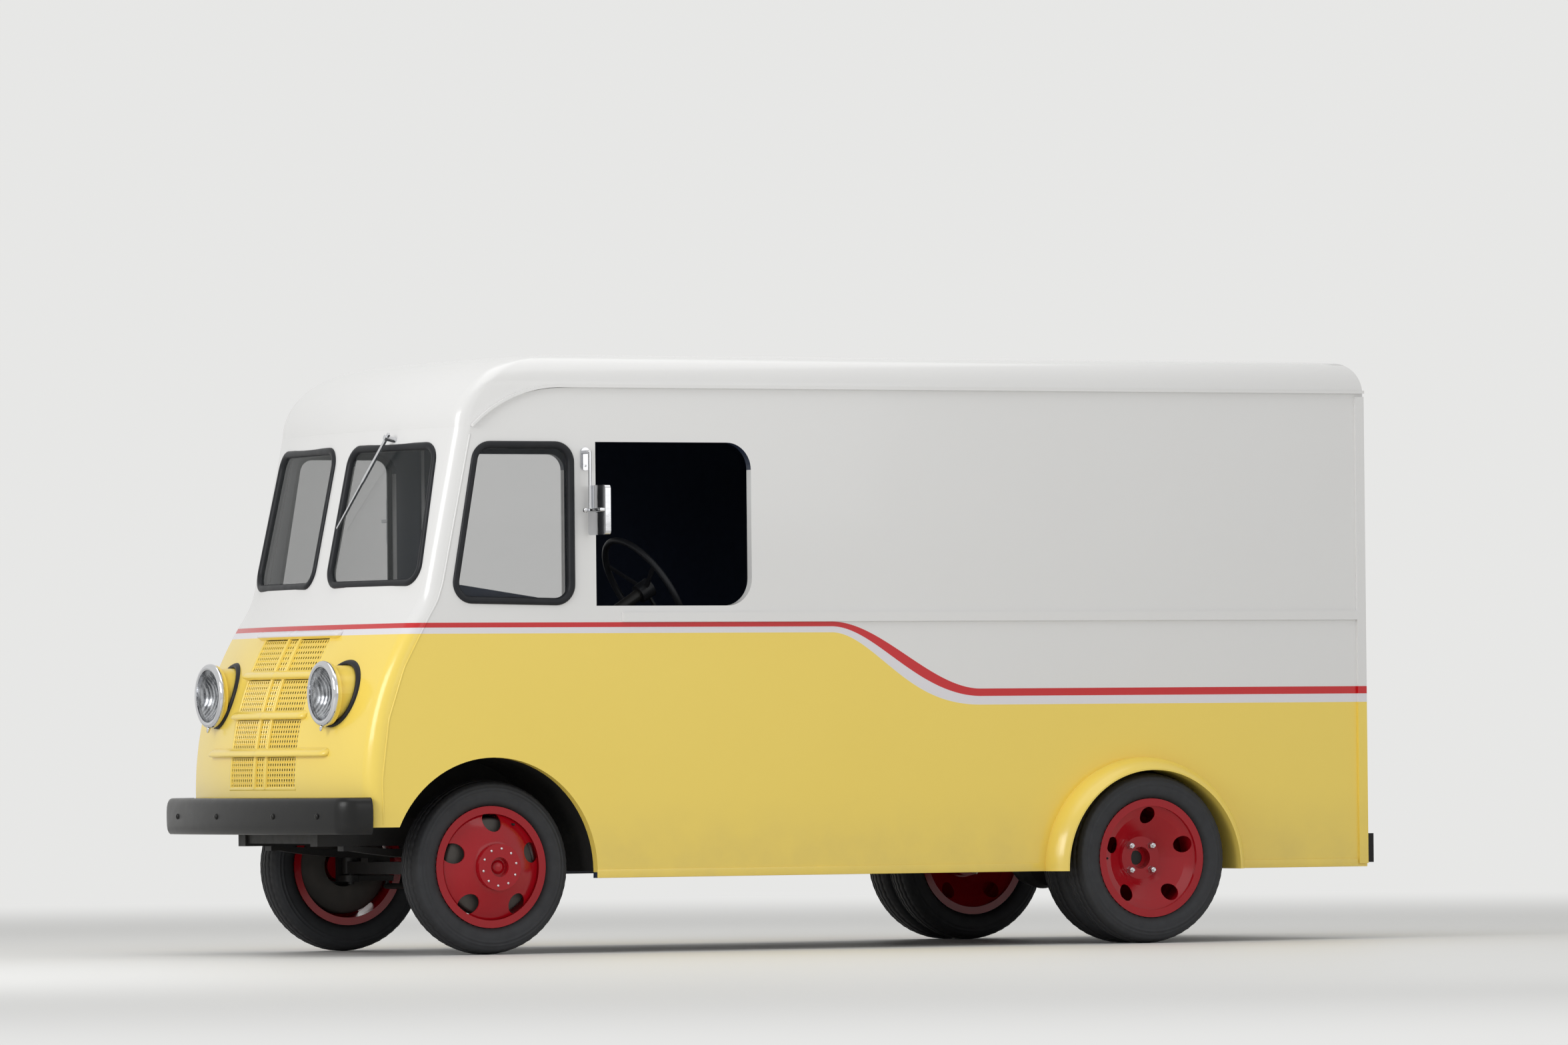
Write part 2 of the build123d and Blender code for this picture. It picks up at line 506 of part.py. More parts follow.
STEP_HALF, STEP_T, STEP_Z, STEP_H, PIN_R = 700.0, 65.0, 345.0, 110.0, 13.0
with BuildPart() as rear_bumper:
    with Locations((0, REAR_Y + STEP_T / 2, STEP_Z)):
        Box(2 * STEP_HALF, STEP_T, STEP_H)
    with Locations((0, REAR_Y + STEP_T / 2, STEP_Z)):
        Cylinder(PIN_R, STEP_H, mode=Mode.SUBTRACT)

# Headlamps: a bucket through the nose with a hollow reflector, a rim ring and a domed lens
LENS_R, LENS_T, LENS_RISE, LENS_EDGE = 98.0, 5.0, 14.0, 8.0
RING_FRONT, RING_BACK, BUCKET_LIP, BUCKET_END = 4.0, 20.0, 22.0, 130.0
BOWL_DEEP, BOWL_EYE = 62.0, 20.0


def lamp_revolve(runs, arcs):
    """Turn a half section of (from axis, from lens plane) around the left lamp's axis and mirror it."""
    with BuildSketch(Plane.XY.offset(LAMP_Z)) as section:
        with BuildLine():
            for points in runs:
                Polyline(*[(LAMP_X + r, LAMP_Y + y) for r, y in points])
            for points in arcs:
                ThreePointArc(*[(LAMP_X + r, LAMP_Y + y) for r, y in points])
        make_face()
    revolve(section.sketch, axis=Axis((LAMP_X, 0, LAMP_Z), (0, 1, 0)))
    mirror(about=Plane.YZ)


with BuildPart() as headlamp_shells:
    bowl_back = RING_BACK + BOWL_DEEP
    lamp_revolve([((BOWL_EYE, bowl_back), (0, bowl_back), (0, BUCKET_END), (LAMP_HOLE_R, BUCKET_END),
                   (LAMP_HOLE_R, RING_BACK + BUCKET_LIP), (LAMP_R - 5, RING_BACK + BUCKET_LIP - 6),
                   (LAMP_R - 5, RING_BACK), (LENS_R, RING_BACK))],
                 [((LENS_R, RING_BACK), (LENS_R * 0.72, RING_BACK + BOWL_DEEP * 0.55), (BOWL_EYE, bowl_back))])
with BuildPart() as headlamp_rings:
    lamp_revolve([((LENS_R, RING_FRONT), (LENS_R, RING_BACK), (LAMP_R, RING_BACK))],
                 [((LAMP_R, RING_BACK), (LAMP_R - 6, RING_FRONT), (LENS_R, RING_FRONT))])
with BuildPart() as headlamp_lenses:
    dome = (LENS_R ** 2 + LENS_RISE ** 2) / (2 * LENS_RISE)
    sag = dome - sqrt(dome ** 2 - LENS_R ** 2 / 4)
    tip = LENS_EDGE - LENS_RISE
    lamp_revolve([((0, tip), (0, tip + LENS_T)), ((LENS_R, LENS_EDGE), (LENS_R, LENS_EDGE + LENS_T))],
                 [((0, y), (LENS_R / 2, y + sag), (LENS_R, y + LENS_RISE)) for y in (tip, tip + LENS_T)])

# Screens: flat perforated plates between the bars, joined by upright ribs
def nose_y(x, z):
    """Front of the nose at one place."""
    for (z0, y0), (z1, y1) in zip(NOSE, NOSE[1:]):
        if z <= z1:
            return y0 + (y1 - y0) * (z - z0) / (z1 - z0) + BOW_R - sqrt(BOW_R ** 2 - x ** 2)


def nose_plane(x, high, low):
    """Plane along the nose between two heights, set back for the screens."""
    span = nose_y(x, high) - nose_y(x, low)
    slope = Vector(0, span, high - low).normalized()
    across = Vector(BOW_R, x, 0).normalized()
    return Plane(origin=(x, (nose_y(x, high) + nose_y(x, low)) / 2 + SCREEN_SET, (high + low) / 2),
                 x_dir=across, z_dir=across.cross(slope))


with BuildPart() as grille_screens:
    levels = [GRILLE[2] + SCREEN_T] + [z for half_w, z in BARS[1:]] + [GRILLE[1] - SCREEN_T]
    for high, low in zip(levels, levels[1:]):
        for x, wide, across in STRIPS:
            with BuildSketch(nose_plane(x, high, low)):
                Rectangle(wide, (high - low) + 3 * SCREEN_T)
                with GridLocations(HOLE_PITCH, (high - low - BAR_H) / HOLE_ROWS, across, HOLE_ROWS):
                    Rectangle(HOLE, HOLE, mode=Mode.SUBTRACT)
            extrude(amount=-SCREEN_T)
        for s in (1, -1):
            with BuildSketch(nose_plane(s * RIB_X, high, low).offset(SCREEN_T / 2)):
                Rectangle(RIB_W, (high - low) + 3 * SCREEN_T)
            extrude(amount=-2 * SCREEN_T)
    with BuildSketch(Plane.XZ):
        with Locations((0, (GRILLE[1] + GRILLE[2]) / 2)):
            Rectangle(2 * GRILLE[0], GRILLE[2] - GRILLE[1])
    extrude(amount=2400, mode=Mode.INTERSECT)
with BuildPart() as grille_bars:
    front_loft(NOSE, -BAR_OUT)
    front_loft(NOSE, 0, Mode.SUBTRACT)
    with BuildSketch(Plane.XZ):
        for half, z in BARS:
            with Locations((0, z)):
                SlotOverall(2 * half, BAR_H)
    extrude(amount=2400, mode=Mode.INTERSECT)

# Mirrors, wiper, cab fittings
MIRROR_Y, MIRROR_Z, MIRROR_W, MIRROR_H, MIRROR_T = -1150.0, 1621.0, 140.0, 182.0, 22.0
MIRROR_OUT, ARM_OUT, ARM_TOP, ARM_R = 88.0, 45.0, 1835.0, 7.0
with BuildPart() as mirrors:
    with BuildSketch(Plane.YZ.offset(HALF_W)):
        with Locations((MIRROR_Y, ARM_TOP - 25)):
            SlotOverall(84, 36, rotation=90)
    extrude(amount=10)
    with BuildLine():
        Polyline((HALF_W + 5, MIRROR_Y, ARM_TOP), (HALF_W + ARM_OUT, MIRROR_Y, ARM_TOP),
                 (HALF_W + ARM_OUT, MIRROR_Y, MIRROR_Z))
    with BuildSketch(Plane(origin=(HALF_W + 5, MIRROR_Y, ARM_TOP), z_dir=(1, 0, 0))):
        Circle(ARM_R)
    sweep(transition=Transition.ROUND)
    with BuildSketch(Plane.XZ.offset(-MIRROR_Y - ARM_R + 2)):
        with Locations((HALF_W + MIRROR_OUT, MIRROR_Z)):
            RectangleRounded(MIRROR_W, MIRROR_H, 14)
    extrude(amount=-MIRROR_T)
    mirror(about=Plane.YZ)

# Wiper: swing from upright, then each bar of the arm as (distance from the shaft, length, width)
WIPER_SWING, WIPER_OUT, WIPER_T, SHAFT_IN = 40.0, 5.0, 8.0, 52.0
WIPER_BARS = ((95.0, 230.0, 14.0), (305.0, 260.0, 9.0))
with BuildPart() as wiper:
    with BuildSketch(RAKE.offset(-SHAFT_IN)):
        Circle(10)
    extrude(amount=SHAFT_IN + WIPER_OUT + WIPER_T + 6)
    with BuildSketch(RAKE.offset(WIPER_OUT)):
        with Locations(Location((0, 0, 0), (0, 0, -WIPER_SWING))):
            for away, long, wide in WIPER_BARS:
                with Locations((0, -away)):
                    Rectangle(wide, long)
    extrude(amount=WIPER_T)
# Dash shelf in side view, and the kick panels under it that carry the steering column
DASH = ((-1730.0, 1190.0), (-1730.0, 1342.0), (-1640.0, 1350.0), (-1330.0, 1304.0), (-1300.0, 1278.0), (-1300.0, 1240.0),
        (-1540.0, 1190.0))
KICK_X, KICK_Y, KICK_T, KICK_Z = 300.0, -1600.0, 40.0, 738.0
with BuildPart() as dash:
    side_cut(DASH, Mode.ADD, WALL - HALF_W, HALF_W - WALL)
    with Locations(*[(s * (KICK_X + HALF_W - WALL) / 2, KICK_Y - KICK_T / 2, (KICK_Z + DASH[0][1]) / 2) for s in (1, -1)]):
        Box(HALF_W - WALL - KICK_X, KICK_T, DASH[0][1] - KICK_Z)

with BuildPart() as engine_cover:
    with Locations((0, -1330, 790)):
        Box(540, 1140, 500)
    with Locations((0, -1345, 780)):
        Box(500, 1150, 500, mode=Mode.SUBTRACT)

with BuildPart() as driver_seat:
    with Locations((470, -430, 660)):
        Box(280, 340, 240)
    with Locations((470, -430, 830)):
        Box(360, 420, 100)
    with Locations((470, -195, 1110)):
        Box(360, 70, 640)
    with Locations((470, -240, 830)):
        Box(360, 60, 100)

STEER_LEAN = 1.0
COLUMN_LONG, COLUMN_R = 1200.0, 22.0
COLUMN = Plane(origin=(400, -722, 1335), x_dir=(1, 0, 0), z_dir=(0, sin(STEER_LEAN), cos(STEER_LEAN)))
with BuildPart() as steering_column:
    with BuildSketch(COLUMN.offset(-30)):
        Circle(COLUMN_R)
    extrude(amount=-COLUMN_LONG)
    with Locations((400, KICK_Y - COLUMN_LONG / 2, AXLE_Z)):
        Box(8 * COLUMN_R, COLUMN_LONG, 2 * COLUMN_LONG, mode=Mode.SUBTRACT)
with BuildPart() as steering_wheel:
    with BuildSketch(COLUMN.offset(-29.5)):
        Circle(36)
    extrude(amount=55)
    with BuildSketch(COLUMN):
        for a in (90.0, 210.0, 330.0):
            with Locations(Location((0, 0, 0), (0, 0, a))):
                with Locations((110, 0)):
                    Rectangle(210, 16)
    extrude(amount=8)
    with Locations(COLUMN):
        Torus(219, 12)

# Steering knuckles and tie rod
with BuildPart() as knuckle_left:
    for z in (AXLE_Z + 46, AXLE_Z - 48):
        with Locations((KING_X, FRONT_Y, z)):
            Cylinder(32, 24)
        with Locations((KING_X + 30, FRONT_Y, z)):
            Box(60, 64, 24)
    with Locations((KING_X + 51, FRONT_Y, AXLE_Z)):
        Box(22, 70, 118)
    with Locations(((KING_X + 56 + FRONT_X + SPINDLE_OUT) / 2, FRONT_Y, AXLE_Z)):
        Cylinder(SPINDLE_R, FRONT_X + SPINDLE_OUT - KING_X - 56, rotation=(0, 90, 0))
    with BuildSketch(Plane.XY.offset(AXLE_Z - 58)):
        with BuildLine():
            Polyline((KING_X - 25, FRONT_Y + 10), (KING_X + 28, FRONT_Y + 10), (ARM_X + 18, ARM_Y), (ARM_X + 18, ARM_Y + 18),
                     (ARM_X - 18, ARM_Y + 18), (ARM_X - 18, ARM_Y), close=True)
        make_face()
    extrude(amount=20)
    with Locations((KING_X, FRONT_Y, AXLE_Z)):
        Cylinder(12.5, 200, mode=Mode.SUBTRACT)
    with Locations((ARM_X, ARM_Y, AXLE_Z)):
        Cylinder(8.5, 200, mode=Mode.SUBTRACT)
with BuildPart() as knuckle_right:
    mirror(knuckle_left.part, about=Plane.YZ)
with BuildPart() as tie_rod:
    with Locations((0, ARM_Y, AXLE_Z - 78)):
        Cylinder(11, 2 * ARM_X + 20, rotation=(0, 90, 0))
    with Locations((ARM_X, ARM_Y, AXLE_Z - 56), (-ARM_X, ARM_Y, AXLE_Z - 56)):
        Cylinder(8, 52)


def wheel_profile(x0, out, y, points):
    """Half section above the wheel axle, out being the side that faces away from the van."""
    Polygon(*[(x0 + out * x, y + r) for x, r in points], align=None)


RIM_T = 10.0
RIM_IN = BEAD_R - RIM_T
RIM = ((-RIM_HALF, RIM_IN), (-RIM_HALF, RIM_R), (-RIM_HALF + 9, RIM_R), (-RIM_HALF + 10, BEAD_R),
       (RIM_HALF - 10, BEAD_R), (RIM_HALF - 9, RIM_R), (RIM_HALF, RIM_R), (RIM_HALF, RIM_IN))
# Front disc bulges out to a bolted hub cover with a sunk grease cap: out from the tyre's middle, radius
FRONT_DISC = ((46, RIM_IN + 3), (72, 160), (92, 120), (106, 88), (106, 85), (130, 85), (130, 36), (112, 36), (112, 0),
              (100, 0), (100, 84), (87, 117), (67, 156), (40, RIM_IN + 3))
GREASE_CAP = ((110, 0), (125, 0), (122, 14), (113, 26), (110, 26))
HUB_R, HUB_IN, HUB_OUT = 55.0, 5.0, 104.0
HAND_HOLES, HAND_AT, HAND_R = 5, 166.0, 37.0
REAR_HAND_AT, REAR_HAND_R = 160.0, 31.0


def hand_holes(x, y, deep, at=HAND_AT, radius=HAND_R):
    """Cut the ring of hand holes, each stopped by the rim."""
    with BuildSketch(Plane.YZ.offset(x)) as holes:
        with Locations((y, AXLE_Z)):
            with PolarLocations(at, HAND_HOLES, start_angle=90):
                Circle(radius)
        with Locations((y, AXLE_Z)):
            Circle(RIM_IN - 1, mode=Mode.INTERSECT)
    extrude(holes.sketch, amount=deep, mode=Mode.SUBTRACT)


with BuildPart() as front_wheel_left:
    with BuildSketch(Plane.XY.offset(AXLE_Z)):
        for points in (RIM, FRONT_DISC, GREASE_CAP):
            wheel_profile(FRONT_X, 1, FRONT_Y, points)
        with Locations((FRONT_X + (HUB_IN + HUB_OUT) / 2, FRONT_Y + HUB_R / 2)):
            Rectangle(HUB_OUT - HUB_IN, HUB_R)
    revolve(axis=Axis((0, FRONT_Y, AXLE_Z), (1, 0, 0)))
    with BuildSketch(Plane.YZ.offset(FRONT_X)):
        with Locations((FRONT_Y, AXLE_Z)):
            Circle(SPINDLE_R + BEARING_GAP)
    extrude(amount=SPINDLE_OUT + HUB_IN, mode=Mode.SUBTRACT)
    hand_holes(FRONT_X - RIM_HALF, FRONT_Y, 2.2 * RIM_HALF)
with BuildPart() as front_wheel_right:
    mirror(front_wheel_left.part, about=Plane.YZ)


def tyre_ring(xs, y):
    """Tyre solids of one hub."""
    for x in xs:
        with BuildSketch(Plane.XY.offset(AXLE_Z)) as section:
            with BuildLine():
                Polyline((x - 60, y + 228), (x - 47.5, y + 225), (x - 47.5, y + BEAD_R + 0.2),
                         (x + 47.5, y + BEAD_R + 0.2), (x + 47.5, y + 225), (x + 60, y + 228))
                ThreePointArc((x + 60, y + 228), (x + TYRE_HALF, y + 264), (x + 62, y + 304))
                ThreePointArc((x + 62, y + 304), (x, y + TYRE_R), (x - 62, y + 304))
                ThreePointArc((x - 62, y + 304), (x - TYRE_HALF, y + 264), (x - 60, y + 228))
            make_face()
        revolve(section.sketch, axis=Axis((0, y, AXLE_Z), (1, 0, 0)))


with BuildPart() as front_tyre_left:
    tyre_ring([FRONT_X], FRONT_Y)
with BuildPart() as front_tyre_right:
    tyre_ring([-FRONT_X], FRONT_Y)
with BuildPart() as rear_tyres_left:
    tyre_ring([REAR_IN_X, REAR_OUT_X], REAR_AXLE_Y)
with BuildPart() as rear_tyres_right:
    tyre_ring([-REAR_IN_X, -REAR_OUT_X], REAR_AXLE_Y)

# Rear discs dish in to a common hub drum: out from the tyre's middle, radius
DISH = ((45, RIM_IN + 3), (28, 160), (-8, 105), (-26, 80), (-26, 41), (-36, 41), (-36, 76), (-14, 102), (22, 158),
        (39, RIM_IN + 3))
DRUM_R, DRUM_IN, DRUM_END, EYE_R = 74.0, 590.0, 745.0, 41.0
EYE_FLOOR = AXLE_END + 3
with BuildPart() as rear_wheels_left:
    with BuildSketch(Plane.XY.offset(AXLE_Z)):
        for x, out in ((REAR_OUT_X, 1), (REAR_IN_X, -1)):
            wheel_profile(x, out, REAR_AXLE_Y, RIM)
            wheel_profile(x, out, REAR_AXLE_Y, DISH)
        with Locations(((DRUM_IN + DRUM_END) / 2, REAR_AXLE_Y + DRUM_R / 2)):
            Rectangle(DRUM_END - DRUM_IN, DRUM_R)
    revolve(axis=Axis((0, REAR_AXLE_Y, AXLE_Z), (1, 0, 0)))
    for x, radius in ((DRUM_IN - 50, SHAFT_R + BEARING_GAP), (EYE_FLOOR, EYE_R)):
        with BuildSketch(Plane.YZ.offset(x)):
            with Locations((REAR_AXLE_Y, AXLE_Z)):
                Circle(radius)
        extrude(amount=DRUM_END + 20 - x, mode=Mode.SUBTRACT)
    hand_holes(REAR_IN_X - RIM_HALF, REAR_AXLE_Y, REAR_OUT_X - REAR_IN_X + 2 * RIM_HALF, REAR_HAND_AT, REAR_HAND_R)
with BuildPart() as rear_wheels_right:
    mirror(rear_wheels_left.part, about=Plane.YZ)

PIECES = {
    "chassis_frame": chassis_frame, "front_axle": front_axle, "leaf_springs": leaf_springs, "rear_axle": rear_axle,
    "engine_block": engine_block, "propeller_shaft": propeller_shaft, "exhaust": exhaust, "cab_floor": cab_floor,
    "load_floor": load_floor,
    "wheel_housings": wheel_housings, "nose_panel": nose_panel, "windshield_panel": windshield_panel,
    "window_seals": window_seals, "window_glass": window_glass, "side_lower_left": side_lower_left,
    "side_lower_right": side_lower_right, "side_upper_left": side_upper_left, "side_upper_right": side_upper_right,
    "roof": roof, "mouldings": mouldings, "rear_flares": rear_flares, "rear_frame": rear_frame,
    "front_bumper": front_bumper, "rear_bumper": rear_bumper, "headlamp_shells": headlamp_shells,
    "headlamp_rings": headlamp_rings, "headlamp_lenses": headlamp_lenses, "grille_screens": grille_screens,
    "grille_bars": grille_bars, "mirrors": mirrors, "wiper": wiper, "dash": dash, "engine_cover": engine_cover,
    "driver_seat": driver_seat, "steering_column": steering_column, "steering_wheel": steering_wheel,
    "knuckle_left": knuckle_left, "knuckle_right": knuckle_right, "tie_rod": tie_rod,
    "front_wheel_left": front_wheel_left, "front_wheel_right": front_wheel_right,
    "front_tyre_left": front_tyre_left, "front_tyre_right": front_tyre_right,
    "rear_wheels_left": rear_wheels_left, "rear_wheels_right": rear_wheels_right,
    "rear_tyres_left": rear_tyres_left, "rear_tyres_right": rear_tyres_right,
    "side_door": side_door, "side_door_glass": side_door_glass, "rear_door_left": rear_door_left,
    "rear_door_right": rear_door_right, "rear_glass_left": rear_glass_left, "rear_glass_right": rear_glass_right,
}
os.makedirs("parts", exist_ok=True)
for label, piece in PIECES.items():
    piece.part.label = label
    export_step(piece.part, f"parts/{label}.step")
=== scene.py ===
# %% [markdown]
# A walk-in delivery van, dressed for a studio picture.
# The solids come from a CAD model as a fixed frame, one object for each piece, and every object
# sits at the origin with its place in its vertices. So object coordinates are real places on the
# van, in metres: Z is up, -Y is forward and +X is the driver's side. Paint can be laid out by
# those coordinates, without any unwrapping.

# %% Load the frame
from math import atan2, cos, pi, radians, sin, sqrt

import bmesh
import bpy
import numpy as np
from mathutils import Matrix, Vector


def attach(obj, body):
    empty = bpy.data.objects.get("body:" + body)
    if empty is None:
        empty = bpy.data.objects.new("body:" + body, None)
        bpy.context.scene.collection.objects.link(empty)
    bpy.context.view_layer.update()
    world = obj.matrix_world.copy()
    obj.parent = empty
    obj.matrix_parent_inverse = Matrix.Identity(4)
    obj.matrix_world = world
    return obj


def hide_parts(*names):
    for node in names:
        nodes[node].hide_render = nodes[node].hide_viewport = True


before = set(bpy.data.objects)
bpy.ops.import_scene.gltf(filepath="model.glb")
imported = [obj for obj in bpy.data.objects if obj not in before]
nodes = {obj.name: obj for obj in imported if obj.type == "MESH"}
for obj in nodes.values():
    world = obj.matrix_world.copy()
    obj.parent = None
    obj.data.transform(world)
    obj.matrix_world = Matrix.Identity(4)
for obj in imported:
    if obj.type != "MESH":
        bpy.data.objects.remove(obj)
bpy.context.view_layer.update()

# %% [markdown]
# The camera stands far away with a long lens, so the van looks nearly flat, as in a catalogue.
# Its place was found by fitting known corners of the van to the picture. A camera looks along its
# own -Z, so its matrix has the right, up and back directions as columns.

# %% Camera
AZIMUTH, ELEVATION, ROLL = radians(62.081), radians(-1.228), radians(-0.558)
DISTANCE, SHIFT_RIGHT, SHIFT_UP = 41.344, 0.069, 0.596
FOCUS_PIXELS, PICTURE_WIDE = 16446.2, 2352
AIM = Vector((0, 0, 1))

scene = bpy.context.scene
scene.view_settings.view_transform = "Standard"
back = Vector((sin(AZIMUTH) * cos(ELEVATION), -cos(AZIMUTH) * cos(ELEVATION), sin(ELEVATION)))
level = Vector((0, 0, 1)).cross(back).normalized()
upright = back.cross(level)
right = level * cos(ROLL) + upright * sin(ROLL)
up = upright * cos(ROLL) - level * sin(ROLL)
lens = bpy.data.cameras.new("studio_camera")
lens.sensor_fit, lens.sensor_width = "HORIZONTAL", 36.0
lens.lens = FOCUS_PIXELS / PICTURE_WIDE * lens.sensor_width
lens.clip_end = 300
camera = bpy.data.objects.new("studio_camera", lens)
stand = AIM + back * DISTANCE + level * SHIFT_RIGHT + upright * SHIFT_UP
camera.matrix_world = Matrix.Translation(stand) @ Matrix((right, up, back)).transposed().to_4x4()
scene.collection.objects.link(camera)
scene.camera = camera
print("lens", round(lens.lens, 1), "mm, camera height", round(camera.location.z, 2))

# %% [markdown]
# Shader nodes are clumsy to write one by one. A wire below stands for one output socket, and
# Python's own signs work on it: each sign adds one Math node. Every other node comes from `node`,
# which sets a node's settings first and then its sockets. Colours go through a Mix node, because a
# Math node would turn them grey.


# %% Wires and finishes
class Wire:
    """One output socket of a material, for sums in Python."""

    def __init__(self, finish, socket):
        self.finish, self.socket = finish, socket

    def math(self, operation, a, b=0.0, c=0.0):
        return self.finish.node("Math", {"operation": operation}, {0: a, 1: b, 2: c})

    def __add__(self, other): return self.math("ADD", self, other)
    def __sub__(self, other): return self.math("SUBTRACT", self, other)
    def __rsub__(self, other): return self.math("SUBTRACT", other, self)
    def __mul__(self, other): return self.math("MULTIPLY", self, other)
    def __gt__(self, other): return self.math("GREATER_THAN", self, other)
    def __lt__(self, other): return self.math("LESS_THAN", self, other)

    def smooth(self, start, end):
        """0 before start, 1 after end, with a soft turn between."""
        return self.finish.node("MapRange", {"interpolation_type": "SMOOTHSTEP"},
                                {"Value": self, "From Min": start, "From Max": end})


class Finish:
    """One material: a Principled shader with a place to add nodes."""

    def __init__(self, name):
        self.material = bpy.data.materials.new(name)
        self.material.use_nodes = True
        self.tree = self.material.node_tree
        self.shader = self.tree.nodes["Principled BSDF"]
        self.place = self.node("TexCoord", out="Object")
        self.x, self.y, self.z = (self.node("SeparateXYZ", {}, {0: self.place}, i) for i in range(3))

    def node(self, kind, settings=(), sockets=(), out=0):
        new = self.tree.nodes.new("ShaderNode" + kind)
        for key, value in dict(settings).items():
            setattr(new, key, value)
        for key, value in dict(sockets).items():
            if isinstance(value, Wire):
                self.tree.links.new(value.socket, new.inputs[key])
            else:
                new.inputs[key].default_value = value
        return Wire(self, new.outputs[out])

    def noise(self, scale, detail=2.0):
        sockets = {"Vector": self.place, "Scale": scale, "Detail": detail, "Roughness": 0.5}
        return self.node("TexNoise", {}, sockets)

    def length(self, vector):
        return self.node("VectorMath", {"operation": "LENGTH"}, {0: vector}, 1)

    def mix(self, factor, a, b):
        """Colour a turning to colour b."""
        a, b = (c if isinstance(c, Wire) else (*c, 1) for c in (a, b))
        return self.node("Mix", {"data_type": "RGBA"}, {0: factor, 6: a, 7: b}, 2)

    def bump(self, height, depth, strength=1.0):
        return self.node("Bump", {}, {"Height": height, "Distance": depth, "Strength": strength})

    def set(self, **sockets):
        for key, value in sockets.items():
            socket = self.shader.inputs[key.replace("_", " ").title().replace("Ior", "IOR")]
            if isinstance(value, Wire):
                self.tree.links.new(value.socket, socket)
            else:
                socket.default_value = (*value, 1) if isinstance(value, tuple) else value
        return self.material


def wear(names, finish):
    """Give CAD nodes one finish in place of their own."""
    for name in names:
        nodes[name].data.materials.clear()
        nodes[name].data.materials.append(finish)


print("helpers for materials")

# %% [markdown]
# The floor is pale and plain. Far away it turns into the same tone as the world behind it, so there
# is no hard horizon line. A mix of two shaders does that: the painted floor near the van, and a plain
# glow in the world's tone beyond it.

# %% Floor
PALE, FLOOR_GREY = (0.80, 0.80, 0.79), (0.7, 0.7, 0.7)
FLOOR_R, FADE_START, FADE_END = 120, 5.0, 15.0
f = Finish("studio_floor")
far = f.length(f.place).smooth(FADE_START, FADE_END)
floor_material = f.set(base_color=f.mix(f.noise(3.0) * 0.06, PALE, FLOOR_GREY),
                       roughness=f.noise(8.0) * 0.1 + 0.5)
glow = f.tree.nodes.new("ShaderNodeEmission")
glow.inputs["Color"].default_value = (*PALE, 1)
blend = f.tree.nodes.new("ShaderNodeMixShader")
f.tree.links.new(far.socket, blend.inputs[0])
f.tree.links.new(f.shader.outputs[0], blend.inputs[1])
f.tree.links.new(glow.outputs[0], blend.inputs[2])
f.tree.links.new(blend.outputs[0], f.tree.nodes["Material Output"].inputs["Surface"])

sheet = bmesh.new()
bmesh.ops.create_circle(sheet, cap_ends=True, segments=96, radius=FLOOR_R)
floor_mesh = bpy.data.meshes.new("studio_floor")
sheet.to_mesh(floor_mesh)
sheet.free()
studio_floor = bpy.data.objects.new("studio_floor", floor_mesh)
studio_floor.data.materials.append(floor_material)
scene.collection.objects.link(studio_floor)
print("floor of", 2 * FLOOR_R, "m")

# %% [markdown]
# The world lights everything evenly. The camera, mirrors and glass see it at full strength, so the
# background stays pale, while surfaces are lit by a weaker one. That leaves room for three broad
# lamps: a large one above, one for the front and one for the driver's side.

# %% World and lamps
WORLD_LIGHT, WORLD_SEEN = 0.66, 1.0
LAMPS = (
    # name, place, aim, width and depth, watts
    ("top_lamp", (0.5, -0.3, 6.0), (0, 0, 1), (5.0, 7.0), 105.0),
    ("front_lamp", (2.5, -8.0, 3.6), (0, -1.8, 1.1), (3.5, 3.0), 190.0),
    ("side_lamp", (8.0, 1.0, 3.2), (0.6, 0.3, 1.0), (6.0, 3.0), 45.0),
)
world = bpy.data.worlds.new("studio_world")
world.use_nodes = True
scene.world = world
tree = world.node_tree
sky = tree.nodes["Background"]
sky.inputs["Color"].default_value = (*PALE, 1)
path = tree.nodes.new("ShaderNodeLightPath")
seen = tree.nodes.new("ShaderNodeMapRange")
seen.inputs["To Min"].default_value, seen.inputs["To Max"].default_value = WORLD_LIGHT, WORLD_SEEN
rays = path.outputs["Is Camera Ray"]
for kind in ("Is Glossy Ray", "Is Transmission Ray"):
    either = tree.nodes.new("ShaderNodeMath")
    either.operation = "MAXIMUM"
    tree.links.new(rays, either.inputs[0])
    tree.links.new(path.outputs[kind], either.inputs[1])
    rays = either.outputs[0]
tree.links.new(rays, seen.inputs["Value"])
tree.links.new(seen.outputs[0], sky.inputs["Strength"])

for name, place, target, size, power in LAMPS:
    lamp = bpy.data.lights.new(name, "AREA")
    lamp.shape, lamp.size, lamp.size_y, lamp.energy = "RECTANGLE", *size, power
    lamp_object = bpy.data.objects.new(name, lamp)
    lamp_object.location = place
    lamp_object.rotation_euler = (Vector(target) - Vector(place)).to_track_quat("-Z", "Y").to_euler()
    scene.collection.objects.link(lamp_object)
print("world and", len(LAMPS), "lamps")

# %% [markdown]
# The body is brush-painted in bands: white above, a red line, a pale line and yellow below. The
# line runs level from the nose, drops in one S-curve behind the cab and runs level again to the
# rear. The whole layout is one height that depends on Y, so one material serves every panel. Faces
# that look towards the middle of the van take the dark blue of the cab. Thin trim has no inside, so
# it gets the same paint without that test.

